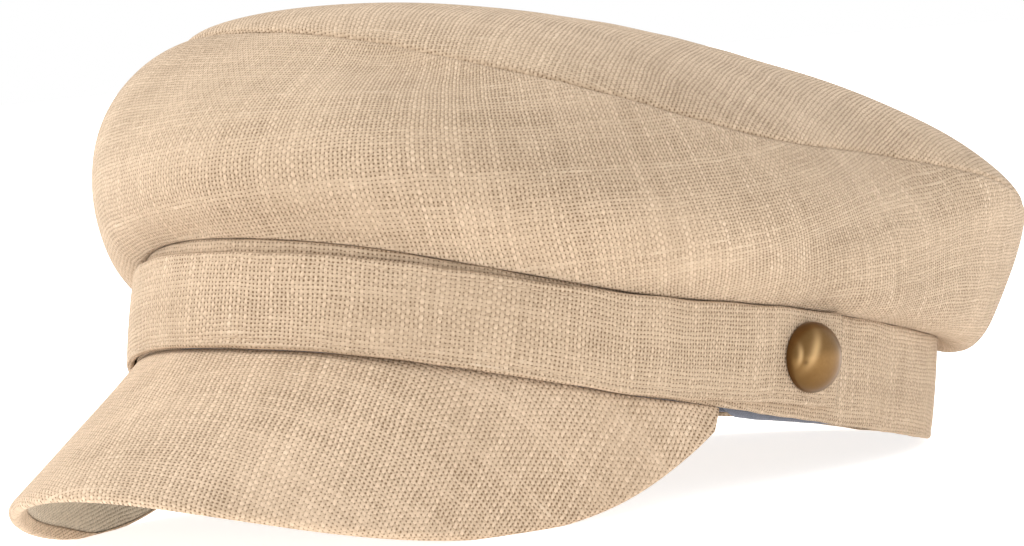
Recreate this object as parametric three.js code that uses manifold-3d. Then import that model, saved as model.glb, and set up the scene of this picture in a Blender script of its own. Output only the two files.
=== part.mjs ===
// Breton fisherman cap in natural linen, resting on the rim of its peak and the back of its band.
// Millimetres, +Z up. The peak points toward -Y and the wearer's left is +X.
import * as THREE from "three";
import Module from "manifold-3d";
import { mergeVertices } from "three/addons/utils/BufferGeometryUtils.js";

const wasm = await Module();
wasm.setup();

// Band: its girth, its height, and the shape of its oval as shares of the mean radius
const BAND_GIRTH = 592;
const BAND_HEIGHT = 25;
const BAND_WALL = 1.8;
const BAND_EGG = -0.0325;
const BAND_OVAL = 0.157;
const BAND_CORNER = 0.0084;

// Rise of the band's hem over the middle of the peak, its droop on the wearer's right and its lift at
// the back
const HEM_ARCH = 6.3;
const HEM_DROOP = 6.1;
const DROOP_TURN = -55;
const DROOP_HALF_TURN = 30;
const HEM_LIFT = 2.6;
const LIFT_TURN = -165;
const LIFT_HALF_TURN = 20;

// Cloth strap over the front, from button to button
const STRAP_WIDTH = 21.3;
const STRAP_WALL = 1.8;
const STRAP_HALF_TURN = 100;

// Inner sweatband, and how far it shows below the hem behind the peak
const SWEAT_HEIGHT = 27;
const SWEAT_WALL = 1.0;
const SWEAT_SHOW = 1.6;

// Crown: side panel, oval top panel, and how high they stand over the band's back hem
const CROWN_HEIGHT = 80;
const CROWN_WALL = 1.6;
const TOP_RADIUS = 92;
const TOP_SETBACK = 27;
const SIDE_SWELL = 30;
const TOP_DOME = 27.5;
const TOP_DOME_SETBACK = 0.2;
const TOP_DOME_SIDE = -3.6;
const TOP_EDGE_REACH = 9.7;
const TOP_EDGE_PITCH = 58;
const TOP_CREST_REACH = 63.7;
const TOP_CREST_TILT = 0.8;
const TOP_CREST_DROP = 3.3;
const DENT_DEPTH = 5;

// Peak: length at its middle, pitch at its middle and at its sides, how far the springy peak is turned
// and lowered against the soft band, and its layers
const PEAK_LENGTH = 50;
const PEAK_PITCH = 29.5;
const PEAK_SIDE_PITCH = 72.5;
const PEAK_HALF_TURN = 73.4;
const PEAK_SQUARENESS = 3.0;
const PEAK_FULLNESS = 0.855;
const PEAK_FORWARD = 1.185;
const PEAK_STAND = 3;
const PEAK_TWIST_TURN = 2.8;
const PEAK_DROP = 4;
const PEAK_ARCH = 0.3;
const PEAK_COVER_WALL = 1.6;
const PEAK_UNDER_WALL = 1.1;
const PEAK_RIM_WRAP = 3.7;
const PEAK_RIM_LIP = 0.2;
const PEAK_RIM_ROUND = 0.8;
const PEAK_TRIM_TURN = 0.6;
const PEAK_UNDER_TRIM_TURN = 2.5;

// Buttons at the ends of the strap
const BUTTON_DIAMETER = 16.2;
const BUTTON_DOME = 6.4;
const BUTTON_EDGE = 0.9;
const BUTTON_BACK_ROUND = 0.4;
const BUTTON_TURN = 92;
const BUTTON_RISE = 0.2;

// Clearance between sewn pieces, and how far the cloth is pressed flat where the cap rests
const SEAM_GAP = 0.3;
const REST_PRESS = 0.6;

// Steps round the cap, across its walls, along its pieces and round its buttons
const ROUND_STEPS = 84;
const SIDE_STEPS = 9;
const TOP_STEPS = 7;
const STRAP_STEPS = 56;
const PEAK_STEPS = 48;
const PEAK_UNDER_STEPS = 44;
const BUTTON_STEPS = 22;
const DOME_STEPS = 6;
const GIRTH_STEPS = 1440;
const SETTLE_STEPS = 12;

// Small steps in degrees and in share for measuring a direction, the share of the side panel over which
// its dents fade in, and limits that keep thin corners and short sections of the peak sound
const TURN_NUDGE = 0.5;
const SHARE_NUDGE = 0.02;
const DENT_FADE = 0.2;
const SEAM_CORNER_LIMIT = 0.6;
const RIM_SHARE_LIMIT = 0.45;
const ROUND_SHARE_LIMIT = 0.2;
const UP = new THREE.Vector3(0, 0, 1);
const ACROSS = new THREE.Vector3(0, 1, 0);

// Band sections by angle from the front, the same on both sides.
// hem: share of HEM_ARCH, height: share of BAND_HEIGHT, strap: foot of the strap over the hem as a
// share of STRAP_WIDTH, sweat: how far the sweatband shows below the hem as a share of SWEAT_SHOW
const BAND_SECTIONS = [
  { angle: 0, hem: 1.0, height: 0.97, strap: 0.0, sweat: -0.6 },
  { angle: 18, hem: 0.98, height: 0.94, strap: -0.004, sweat: -0.6 },
  { angle: 36, hem: 0.75, height: 0.88, strap: -0.02, sweat: -0.6 },
  { angle: 54, hem: 0.37, height: 0.885, strap: 0.0, sweat: -0.6 },
  { angle: 66, hem: 0.28, height: 0.905, strap: 0.025, sweat: -0.6 },
  { angle: 75, hem: 0.22, height: 0.94, strap: 0.075, sweat: -0.4 },
  { angle: 79, hem: 0.18, height: 0.955, strap: 0.1, sweat: 0.9 },
  { angle: 90, hem: 0.11, height: 0.985, strap: 0.145, sweat: 0.55 },
  { angle: 110, hem: 0.02, height: 0.99, strap: 0.18, sweat: -0.2 },
  { angle: 135, hem: 0.0, height: 0.98, strap: 0.2, sweat: -0.6 },
  { angle: 180, hem: 0.4, height: 0.98, strap: 0.2, sweat: -0.6 },
];

// Crown sections by angle, all the way round, because the crown slouches to the wearer's left.
// reach: seam from the top's middle as a share of TOP_RADIUS, rise: seam over the back hem as a share
// of CROWN_HEIGHT, foot and head: the side panel's directions at the band and at the seam in degrees,
// footSwell and headSwell: how far it follows them as shares of SIDE_SWELL
const CROWN_SECTIONS = [
  { angle: 0, reach: 1.213, rise: 0.986, foot: 38, footSwell: 0.98, head: 41, headSwell: 0.75 },
  { angle: 30, reach: 1.147, rise: 0.886, foot: 54, footSwell: 0.89, head: 48, headSwell: 0.62 },
  { angle: 60, reach: 0.979, rise: 0.788, foot: 41, footSwell: 0.72, head: 52, headSwell: 0.55 },
  { angle: 90, reach: 0.84, rise: 0.797, foot: 26, footSwell: 0.593, head: 52, headSwell: 0.452 },
  { angle: 120, reach: 1.013, rise: 0.769, foot: 3.4, footSwell: 0.477, head: 65.5, headSwell: 0.191 },
  { angle: 150, reach: 1.114, rise: 0.666, foot: -43, footSwell: 0.7, head: 80, headSwell: 0.1 },
  { angle: 180, reach: 1.147, rise: 0.625, foot: -35, footSwell: 0.674, head: 80, headSwell: 0.262 },
  { angle: 210, reach: 1.122, rise: 0.614, foot: -28, footSwell: 0.658, head: 72, headSwell: 0.32 },
  { angle: 240, reach: 0.984, rise: 0.705, foot: -9, footSwell: 0.65, head: 58, headSwell: 0.39 },
  { angle: 270, reach: 0.879, rise: 0.808, foot: 0, footSwell: 0.601, head: 38, headSwell: 0.75 },
  { angle: 300, reach: 0.934, rise: 0.91, foot: -18, footSwell: 0.819, head: 33.2, headSwell: 1.114 },
  { angle: 330, reach: 1.205, rise: 0.981, foot: 7.5, footSwell: 0.573, head: 20, headSwell: 0.963 },
];

// Dents in the side panel. angle and turn: middle and half width in degrees, up and span: the same
// along the section from the band (0) to the seam (1), depth: share of DENT_DEPTH, outward if negative
const SIDE_DENTS = [
  { angle: 12, turn: 9, up: 0.9, span: 0.16, depth: 1.0 },
  { angle: 44, turn: 16, up: 0.62, span: 0.24, depth: 0.35 },
  { angle: 118, turn: 14, up: 0.5, span: 0.3, depth: 0.5 },
  { angle: 205, turn: 16, up: 0.55, span: 0.3, depth: 0.6 },
  { angle: 290, turn: 18, up: 0.6, span: 0.26, depth: 0.5 },
];

// Turns degrees into radians
function radians(degrees) {
  return THREE.MathUtils.degToRad(degrees);
}

// Repeats a table of one half on the other side
function bothSides(rows) {
  const half = rows.slice(1, -1).reverse();
  return [...rows, ...half.map((row) => ({ ...row, angle: 360 - row.angle }))];
}

// Reads one column of a closed table at an angle in degrees, along a smooth curve
function tableValue(rows, column, degrees) {
  const turn = THREE.MathUtils.euclideanModulo(degrees, 360);
  const count = rows.length;
  let at = count - 1;
  while (rows[at].angle > turn) {
    at -= 1;
  }
  const row = (step) => {
    const place = at + step;
    const lap = Math.floor(place / count);
    const found = rows[place - lap * count];
    return { angle: found.angle + 360 * lap, value: found[column] };
  };
  const [before, low, high, after] = [row(-1), row(0), row(1), row(2)];
  const span = high.angle - low.angle;
  const share = (turn - low.angle) / span;
  const lowSlope = (high.value - before.value) / (high.angle - before.angle);
  const highSlope = (after.value - low.value) / (after.angle - low.angle);
  const square = share * share;
  const cube = square * share;
  return low.value * (2 * cube - 3 * square + 1)
    + lowSlope * span * (cube - 2 * square + share)
    + high.value * (3 * square - 2 * cube)
    + highSlope * span * (cube - square);
}

const bandRows = bothSides(BAND_SECTIONS);

// Shape of the band's oval, as a share of its mean radius
function ovalRadius(degrees) {
  const turn = radians(degrees);
  return 1 + BAND_EGG * Math.cos(turn) + BAND_OVAL * Math.cos(2 * turn)
    + BAND_CORNER * Math.cos(3 * turn);
}

// Point of the unit oval
function ovalPoint(degrees) {
  const turn = radians(degrees);
  const radius = ovalRadius(degrees);
  return new THREE.Vector2(radius * Math.sin(turn), -radius * Math.cos(turn));
}

// Girth of the unit oval, which sets the band's mean radius
function ovalGirth() {
  let girth = 0;
  for (let step = 0; step < GIRTH_STEPS; step += 1) {
    const here = ovalPoint((360 * step) / GIRTH_STEPS);
    const next = ovalPoint((360 * (step + 1)) / GIRTH_STEPS);
    girth += here.distanceTo(next);
  }
  return girth;
}

const BAND_RADIUS = BAND_GIRTH / ovalGirth();

// Outward direction of the band at an angle
function bandNormal(degrees) {
  const ahead = ovalPoint(degrees + TURN_NUDGE);
  const along = ahead.sub(ovalPoint(degrees - TURN_NUDGE)).normalize();
  return new THREE.Vector3(along.y, -along.x, 0);
}

// Point of the band's outline, a distance outside its outer face and at a height
function bandPoint(degrees, outside, height) {
  const flat = ovalPoint(degrees).multiplyScalar(BAND_RADIUS);
  const point = new THREE.Vector3(flat.x, flat.y, height);
  return point.addScaledVector(bandNormal(degrees), outside);
}

// How near an angle is to another, from 1 where they meet down to 0
function nearness(degrees, middle, halfTurn) {
  const turn = THREE.MathUtils.euclideanModulo(degrees - middle + 180, 360) - 180;
  return Math.exp(-((turn / halfTurn) ** 2));
}

// Height of the band's hem
function hemHeight(degrees) {
  const droop = HEM_DROOP * nearness(degrees, DROOP_TURN, DROOP_HALF_TURN);
  const lift = HEM_LIFT * nearness(degrees, LIFT_TURN, LIFT_HALF_TURN);
  return HEM_ARCH * tableValue(bandRows, "hem", degrees) - droop + lift;
}

// Height of the band's upper edge, where the crown is sewn on
function bandTop(degrees) {
  return hemHeight(degrees) + BAND_HEIGHT * tableValue(bandRows, "height", degrees);
}

// Height of the strap's lower edge
function strapFoot(degrees) {
  return hemHeight(degrees) + STRAP_WIDTH * tableValue(bandRows, "strap", degrees);
}

// Height of the sweatband's lower edge
function sweatFoot(degrees) {
  return hemHeight(degrees) - SWEAT_SHOW * tableValue(bandRows, "sweat", degrees);
}

// Evenly spread angles, all the way round or from one side of the front to the other
function turnsRound() {
  return Array.from({ length: ROUND_STEPS }, (_, step) => (360 * step) / ROUND_STEPS);
}

function turnsAcross(halfTurn, steps) {
  return Array.from({ length: steps + 1 }, (_, step) => halfTurn * ((2 * step) / steps - 1));
}

// Geometry from points and triangles, with its faces pointing out
function bodyGeometry(points, triangles) {
  let volume = 0;
  for (const [a, b, c] of triangles) {
    volume += points[a].dot(new THREE.Vector3().crossVectors(points[b], points[c]));
  }
  const faces = volume < 0 ? triangles.map(([a, b, c]) => [a, c, b]) : triangles;
  const geometry = new THREE.BufferGeometry();
  const positions = points.flatMap((point) => point.toArray());
  geometry.setAttribute("position", new THREE.Float32BufferAttribute(positions, 3));
  geometry.setIndex(faces.flat());
  return geometry;
}

// Body swept through sections, each a row of outer points and a matching row of inner points
function sweptBody(sections, closed) {
  const points = [];
  const triangles = [];
  for (const { outer, inner } of sections) {
    points.push(...outer, ...[...inner].reverse());
  }
  const rungs = sections[0].outer.length;
  const loop = 2 * rungs;
  const last = closed ? sections.length : sections.length - 1;
  for (let at = 0; at < last; at += 1) {
    const here = at * loop;
    const next = ((at + 1) % sections.length) * loop;
    for (let side = 0; side < loop; side += 1) {
      const far = (side + 1) % loop;
      triangles.push([here + side, next + side, next + far]);
      triangles.push([here + side, next + far, here + far]);
    }
  }
  if (!closed) {
    const end = (sections.length - 1) * loop;
    for (let rung = 0; rung < rungs - 1; rung += 1) {
      const across = loop - 1 - rung;
      triangles.push([rung, rung + 1, across - 1], [rung, across - 1, across]);
      triangles.push([end + rung, end + across - 1, end + rung + 1]);
      triangles.push([end + rung, end + across, end + across - 1]);
    }
  }
  return bodyGeometry(points, triangles);
}

// Dome-shaped shell: rings of sections meeting at an outer and an inner tip
function domedBody(sections, outerTip, innerTip) {
  const points = [];
  const triangles = [];
  for (const { outer, inner } of sections) {
    points.push(...outer, ...inner);
  }
  const rungs = sections[0].outer.length;
  const tip = points.length;
  points.push(outerTip, innerTip);
  sections.forEach((_, at) => {
    const here = at * 2 * rungs;
    const next = ((at + 1) % sections.length) * 2 * rungs;
    for (let rung = 0; rung < rungs - 1; rung += 1) {
      const [a, b, c, d] = [here + rung, next + rung, next + rung + 1, here + rung + 1];
      triangles.push([a, b, c], [a, c, d]);
      triangles.push([a + rungs, c + rungs, b + rungs], [a + rungs, d + rungs, c + rungs]);
    }
    triangles.push([here + rungs - 1, next + rungs - 1, tip]);
    triangles.push([here + 2 * rungs - 1, tip + 1, next + 2 * rungs - 1]);
    triangles.push([here, here + rungs, next + rungs], [here, next + rungs, next]);
  });
  return bodyGeometry(points, triangles);
}

// Point of a smooth curve led by four points
function curvePoint(lead, share) {
  const rest = 1 - share;
  const weights = [rest ** 3, 3 * share * rest ** 2, 3 * share ** 2 * rest, share ** 3];
  const point = new THREE.Vector3();
  lead.forEach((place, index) => point.addScaledVector(place, weights[index]));
  return point;
}

// Headband
function headbandGeometry() {
  const sections = turnsRound().map((degrees) => {
    const foot = hemHeight(degrees);
    const top = bandTop(degrees);
    const heights = [foot, (foot + top) / 2, top];
    return {
      outer: heights.map((height) => bandPoint(degrees, 0, height)),
      inner: heights.map((height) => bandPoint(degrees, -BAND_WALL, height)),
    };
  });
  return sweptBody(sections, true);
}

// Sweatband, just inside the headband
function sweatbandGeometry() {
  const outside = -BAND_WALL - SEAM_GAP;
  const sections = turnsRound().map((degrees) => {
    const foot = sweatFoot(degrees);
    const heights = [foot, foot + SWEAT_HEIGHT / 2, bandTop(degrees) + SWEAT_HEIGHT - BAND_HEIGHT];
    return {
      outer: heights.map((height) => bandPoint(degrees, outside, height)),
      inner: heights.map((height) => bandPoint(degrees, outside - SWEAT_WALL, height)),
    };
  });
  return sweptBody(sections, true);
}

// Cloth strap, just outside the headband
function strapGeometry() {
  const sections = turnsAcross(STRAP_HALF_TURN, STRAP_STEPS).map((degrees) => {
    const foot = strapFoot(degrees);
    const heights = [foot, foot + STRAP_WIDTH / 2, foot + STRAP_WIDTH];
    return {
      outer: heights.map((height) => bandPoint(degrees, SEAM_GAP + STRAP_WALL, height)),
      inner: heights.map((height) => bandPoint(degrees, SEAM_GAP, height)),
    };
  });
  return sweptBody(sections, false);
}

// Depth of the side panel's dents at an angle and a share of the section
function dentDepth(degrees, share) {
  let depth = 0;
  for (const dent of SIDE_DENTS) {
    const round = nearness(degrees, dent.angle, dent.turn);
    const up = Math.exp(-(((share - dent.up) / dent.span) ** 2));
    depth += DENT_DEPTH * dent.depth * round * up;
  }
  return depth;
}

// Point where the side panel is sewn to the top panel
function seamPoint(degrees) {
  const turn = radians(degrees);
  const reach = TOP_RADIUS * tableValue(CROWN_SECTIONS, "reach", degrees);
  const rise = CROWN_HEIGHT * tableValue(CROWN_SECTIONS, "rise", degrees);
  return new THREE.Vector3(reach * Math.sin(turn), TOP_SETBACK - reach * Math.cos(turn), rise);
}

// Outer face of the side panel at an angle, from the band to the seam
function sidePoint(degrees, share) {
  const outward = bandNormal(degrees);
  const value = (column) => tableValue(CROWN_SECTIONS, column, degrees);
  const foot = bandPoint(degrees, 0, bandTop(degrees) + SEAM_GAP);
  const head = seamPoint(degrees);
  const footLead = outward.clone().multiplyScalar(Math.cos(radians(value("foot"))));
  footLead.addScaledVector(UP, Math.sin(radians(value("foot"))));
  const headLead = outward.clone().multiplyScalar(Math.cos(radians(value("head"))));
  headLead.addScaledVector(UP, -Math.sin(radians(value("head"))));
  const lead = [
    foot,
    foot.clone().addScaledVector(footLead, SIDE_SWELL * value("footSwell")),
    head.clone().addScaledVector(headLead, SIDE_SWELL * value("headSwell")),
    head,
  ];
  const point = curvePoint(lead, share);
  const fade = Math.sin(Math.PI * Math.min(1, share / DENT_FADE) / 2);
  return point.addScaledVector(outward, -fade * dentDepth(degrees, share));
}

// Slope of the crown's seam from front to back
function seamSlope() {
  const front = seamPoint(0);
  const back = seamPoint(180);
  return (back.z - front.z) / (back.y - front.y);
}

// Highest part of the top panel
function topTip() {
  const tip = seamPoint(0).lerp(seamPoint(180), 0.5);
  tip.x += TOP_DOME_SIDE;
  tip.y += TOP_DOME_SETBACK;
  tip.z += TOP_DOME + seamSlope() * TOP_DOME_SETBACK;
  return tip;
}

// Outer face of the top panel at an angle, from the seam to the middle
function topPoint(degrees, share) {
  const edge = seamPoint(degrees);
  edge.addScaledVector(bandNormal(degrees), -dentDepth(degrees, 1));
  const tip = topTip();
  const inward = tip.clone().sub(edge);
  inward.z = 0;
  inward.normalize();
  const edgeLead = inward.clone().multiplyScalar(Math.cos(radians(TOP_EDGE_PITCH)));
  edgeLead.addScaledVector(UP, Math.sin(radians(TOP_EDGE_PITCH)));
  const crest = tip.clone().addScaledVector(inward, -TOP_CREST_REACH);
  crest.z += TOP_CREST_TILT * seamSlope() * (crest.y - tip.y) - TOP_CREST_DROP;
  const lead = [edge, edge.clone().addScaledVector(edgeLead, TOP_EDGE_REACH), crest, tip];
  return curvePoint(lead, share);
}

// Direction square to a face given by a function of angle and share: out of the crown, under the peak
function faceNormal(facePoint, degrees, share) {
  const round = facePoint(degrees + TURN_NUDGE, share).sub(facePoint(degrees - TURN_NUDGE, share));
  const low = Math.max(0, share - SHARE_NUDGE);
  const high = Math.min(1, share + SHARE_NUDGE);
  const across = facePoint(degrees, high).sub(facePoint(degrees, low));
  return round.cross(across).normalize();
}

// Inner corner of the crown's seam, between the two walls
function seamCorner(degrees) {
  const side = faceNormal(sidePoint, degrees, 1);
  const top = faceNormal(topPoint, degrees, 0);
  const middle = side.clone().add(top).normalize();
  const depth = CROWN_WALL / Math.max(SEAM_CORNER_LIMIT, middle.dot(side));
  return topPoint(degrees, 0).addScaledVector(middle, -depth);
}

// Side panel of the crown
function crownSideGeometry() {
  const sections = turnsRound().map((degrees) => {
    const outer = [];
    const inner = [];
    for (let step = 0; step <= SIDE_STEPS; step += 1) {
      const share = step / SIDE_STEPS;
      const point = sidePoint(degrees, share);
      outer.push(point);
      inner.push(point.clone().addScaledVector(faceNormal(sidePoint, degrees, share), -CROWN_WALL));
    }
    inner[0] = bandPoint(degrees, -CROWN_WALL, bandTop(degrees) + SEAM_GAP);
    const along = outer[SIDE_STEPS].clone().sub(outer[SIDE_STEPS - 1]).normalize();
    inner[SIDE_STEPS] = seamCorner(degrees).addScaledVector(along, -SEAM_GAP);
    outer[SIDE_STEPS].addScaledVector(along, -SEAM_GAP);
    return { outer, inner };
  });
  return sweptBody(sections, true);
}

// Top panel of the crown
function crownTopGeometry() {
  const sections = turnsRound().map((degrees) => {
    const outer = [];
    const inner = [];
    for (let step = 0; step < TOP_STEPS; step += 1) {
      const share = step / TOP_STEPS;
      const point = topPoint(degrees, share);
      outer.push(point);
      inner.push(point.clone().addScaledVector(faceNormal(topPoint, degrees, share), -CROWN_WALL));
    }
    const along = outer[1].clone().sub(outer[0]).normalize();
    inner[0] = seamCorner(degrees).addScaledVector(along, SEAM_GAP);
    outer[0].addScaledVector(along, SEAM_GAP);
    return { outer, inner };
  });
  const tip = topTip();
  return domedBody(sections, tip, tip.clone().addScaledVector(UP, -CROWN_WALL));
}

// Length of the peak at an angle, along its pitch
function peakReach(degrees) {
  const share = Math.abs(degrees) / PEAK_HALF_TURN;
  return PEAK_LENGTH * (1 - share ** PEAK_SQUARENESS) ** PEAK_FULLNESS;
}

// Pitch of the peak at an angle, steeper toward its sides
function peakPitch(degrees) {
  const side = Math.sin(radians(degrees)) ** 2;
  return radians(PEAK_PITCH + (PEAK_SIDE_PITCH - PEAK_PITCH) * side);
}

// Direction in which the peak reaches out at an angle, nearly straight ahead all the way round
function peakForward(degrees) {
  const forward = bandNormal(degrees).multiplyScalar(1 - PEAK_FORWARD);
  forward.y -= PEAK_FORWARD;
  return forward.normalize();
}

// Upper edge of the peak's rim at an angle, turned against the band as far as the peak reaches out
function rimPoint(degrees) {
  const reach = peakReach(degrees);
  const pitch = peakPitch(degrees);
  const rim = bandPoint(degrees, PEAK_STAND, 0);
  rim.addScaledVector(peakForward(degrees), reach * Math.cos(pitch));
  rim.addScaledVector(UP, -reach * Math.sin(pitch));
  const turned = rim.clone().applyAxisAngle(ACROSS, -radians(PEAK_TWIST_TURN));
  turned.z -= PEAK_DROP;
  return rim.lerp(turned, THREE.MathUtils.smoothstep(reach, 0, PEAK_LENGTH / 2));
}

// Upper face of the peak at an angle, from the hem (0) to the rim (1)
function peakPoint(degrees, share) {
  const point = bandPoint(degrees, 0, hemHeight(degrees) - SEAM_GAP);
  point.lerp(rimPoint(degrees), share);
  const pitch = peakPitch(degrees);
  const arch = PEAK_ARCH * 4 * share * (1 - share) * (peakReach(degrees) / PEAK_LENGTH);
  point.addScaledVector(peakForward(degrees), arch * Math.sin(pitch));
  return point.addScaledVector(UP, arch * Math.cos(pitch));
}

// Point under the peak's upper face
function peakDepthPoint(degrees, share, depth) {
  const under = faceNormal(peakPoint, degrees, share);
  return peakPoint(degrees, share).addScaledVector(under, depth);
}

const PEAK_RIM_DEPTH = PEAK_COVER_WALL + SEAM_GAP + PEAK_UNDER_WALL + PEAK_RIM_LIP;
const PEAK_END_TURN = PEAK_HALF_TURN - PEAK_TRIM_TURN;

// Share of the peak's reach where the wrapped rim begins
function rimShare(degrees, extra) {
  const reach = peakReach(degrees);
  return 1 - Math.min(RIM_SHARE_LIMIT, PEAK_RIM_WRAP / reach) - extra / reach;
}

// Peak's cover, with its rim wrapped round to the underside
function peakTopGeometry() {
  const sections = turnsAcross(PEAK_END_TURN, PEAK_STEPS).map((degrees) => {
    const step = rimShare(degrees, SEAM_GAP);
    const flat = [0, 0.25 * step, 0.5 * step, 0.75 * step, step];
    const round = Math.min(ROUND_SHARE_LIMIT, PEAK_RIM_ROUND / peakReach(degrees));
    const outer = [...flat, rimShare(degrees, 0), 1 - round].map((s) => peakDepthPoint(degrees, s, 0));
    outer.push(peakDepthPoint(degrees, 1, PEAK_RIM_ROUND));
    const inner = flat.map((s) => peakDepthPoint(degrees, s, PEAK_COVER_WALL));
    inner.push(peakDepthPoint(degrees, rimShare(degrees, 0), PEAK_RIM_DEPTH));
    inner.push(peakDepthPoint(degrees, 1 - round, PEAK_RIM_DEPTH));
    inner.push(peakDepthPoint(degrees, 1, PEAK_RIM_DEPTH - PEAK_RIM_ROUND));
    return { outer, inner };
  });
  return sweptBody(sections, false);
}

// Peak's under cover, set inside the wrapped rim
function peakUnderGeometry() {
  const depth = PEAK_COVER_WALL + SEAM_GAP;
  const sections = turnsAcross(PEAK_END_TURN - PEAK_UNDER_TRIM_TURN, PEAK_UNDER_STEPS).map((degrees) => {
    const end = rimShare(degrees, 2 * SEAM_GAP);
    const flat = [0, 0.25, 0.5, 0.75, 1].map((share) => share * end);
    return {
      outer: flat.map((share) => peakDepthPoint(degrees, share, depth)),
      inner: flat.map((share) => peakDepthPoint(degrees, share, depth + PEAK_UNDER_WALL)),
    };
  });
  return sweptBody(sections, false);
}

// Domed button lying on the strap, on the wearer's left (1) or right (-1)
function buttonGeometry(side) {
  const radius = BUTTON_DIAMETER / 2;
  const profile = [new THREE.Vector2(0, 0), new THREE.Vector2(radius - BUTTON_BACK_ROUND, 0)];
  for (let step = 0; step <= DOME_STEPS; step += 1) {
    const turn = (step / DOME_STEPS) * Math.PI / 2;
    const dome = BUTTON_DOME - BUTTON_EDGE;
    const across = step === DOME_STEPS ? 0 : radius * Math.cos(turn);
    profile.push(new THREE.Vector2(across, BUTTON_EDGE + dome * Math.sin(turn)));
  }
  const geometry = new THREE.LatheGeometry(profile, BUTTON_STEPS);
  const outward = bandNormal(side * BUTTON_TURN);
  const height = strapFoot(side * BUTTON_TURN) + STRAP_WIDTH / 2 + BUTTON_RISE;
  const seat = bandPoint(side * BUTTON_TURN, SEAM_GAP + STRAP_WALL + SEAM_GAP, height);
  const turn = new THREE.Quaternion().setFromUnitVectors(new THREE.Vector3(0, 1, 0), outward);
  geometry.applyQuaternion(turn);
  geometry.translate(seat.x, seat.y, seat.z);
  return geometry;
}

// Lowest of some points once they are turned
function lowestPoint(points, matrix) {
  const turned = points.map((point) => point.clone().applyMatrix4(matrix));
  return turned.reduce((low, point) => (point.z < low.z ? point : low));
}

// How the cap leans when it rests on its hem and on both sides of the peak's rim
function restMatrix() {
  const rims = turnsAcross(PEAK_END_TURN, 2 * PEAK_STEPS)
    .map((degrees) => peakDepthPoint(degrees, 1, PEAK_RIM_DEPTH - PEAK_RIM_ROUND));
  const hems = turnsRound().map((degrees) => bandPoint(degrees, 0, hemHeight(degrees)));
  const seats = [
    rims.filter((point) => point.x > 0),
    hems.filter((point) => point.y > 0),
    rims.filter((point) => point.x < 0),
  ];
  const matrix = new THREE.Matrix4();
  for (let settle = 0; settle < SETTLE_STEPS; settle += 1) {
    const [left, back, right] = seats.map((points) => lowestPoint(points, matrix));
    const facing = back.sub(left).cross(right.sub(left)).normalize();
    const turn = new THREE.Quaternion().setFromUnitVectors(facing, UP);
    matrix.premultiply(new THREE.Matrix4().makeRotationFromQuaternion(turn));
  }
  const lift = -lowestPoint([...rims, ...hems], matrix).z - REST_PRESS;
  return matrix.premultiply(new THREE.Matrix4().makeTranslation(0, 0, lift));
}

// Solid for cutting, from a closed geometry
function solidOf(geometry) {
  const bare = new THREE.BufferGeometry();
  bare.setAttribute("position", geometry.getAttribute("position").clone());
  if (geometry.index) {
    bare.setIndex(geometry.index.clone());
  }
  const merged = mergeVertices(bare, 1e-4);
  const vertProperties = new Float32Array(merged.getAttribute("position").array);
  const triVerts = new Uint32Array(merged.index.array);
  return new wasm.Manifold(new wasm.Mesh({ numProp: 3, vertProperties, triVerts }));
}

function geometryOf(solid) {
  const mesh = solid.getMesh();
  const geometry = new THREE.BufferGeometry();
  geometry.setAttribute("position", new THREE.BufferAttribute(mesh.vertProperties, 3));
  geometry.setIndex(new THREE.BufferAttribute(mesh.triVerts, 1));
  return geometry;
}

// Cloth pressed flat where it would reach below the surface
function pressedFlat(geometry) {
  const reach = BAND_GIRTH;
  const below = new THREE.BoxGeometry(reach, reach, reach);
  below.translate(0, 0, -reach / 2);
  return geometryOf(solidOf(geometry).subtract(solidOf(below)));
}

const linen = { color: 0xd8c0a0, roughness: 0.95, metalness: 0 };
const linenShade = { color: 0xc4ae90, roughness: 0.95, metalness: 0 };
const cotton = { color: 0x8d97a8, roughness: 0.9, metalness: 0 };
const brass = { color: 0x8a6436, roughness: 0.38, metalness: 0.9 };

const rest = restMatrix();
const cap = new THREE.Group();
cap.name = "breton_cap";

// Adds one piece in its resting pose
function addPiece(name, geometry, finish, pressed) {
  geometry.applyMatrix4(rest);
  const settled = pressed ? pressedFlat(geometry) : geometry;
  settled.computeVertexNormals();
  const mesh = new THREE.Mesh(settled, new THREE.MeshStandardMaterial(finish));
  mesh.name = name;
  cap.add(mesh);
}

addPiece("headband", headbandGeometry(), linen, true);
addPiece("sweatband", sweatbandGeometry(), cotton, false);
addPiece("strap", strapGeometry(), linen, false);
addPiece("crown_side", crownSideGeometry(), linen, false);
addPiece("crown_top", crownTopGeometry(), linen, false);
addPiece("peak_top", peakTopGeometry(), linen, true);
addPiece("peak_under", peakUnderGeometry(), linenShade, false);
addPiece("button_left", buttonGeometry(1), brass, false);
addPiece("button_right", buttonGeometry(-1), brass, false);

// Stands the cap over the middle of its outline
const outline = new THREE.Box3().setFromObject(cap);
const middle = outline.getCenter(new THREE.Vector3());
cap.position.set(-middle.x, -middle.y, 0);
cap.updateMatrixWorld(true);

export default cap;
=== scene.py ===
import math

import bpy
import numpy as np
from mathutils import Matrix, Vector


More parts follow.
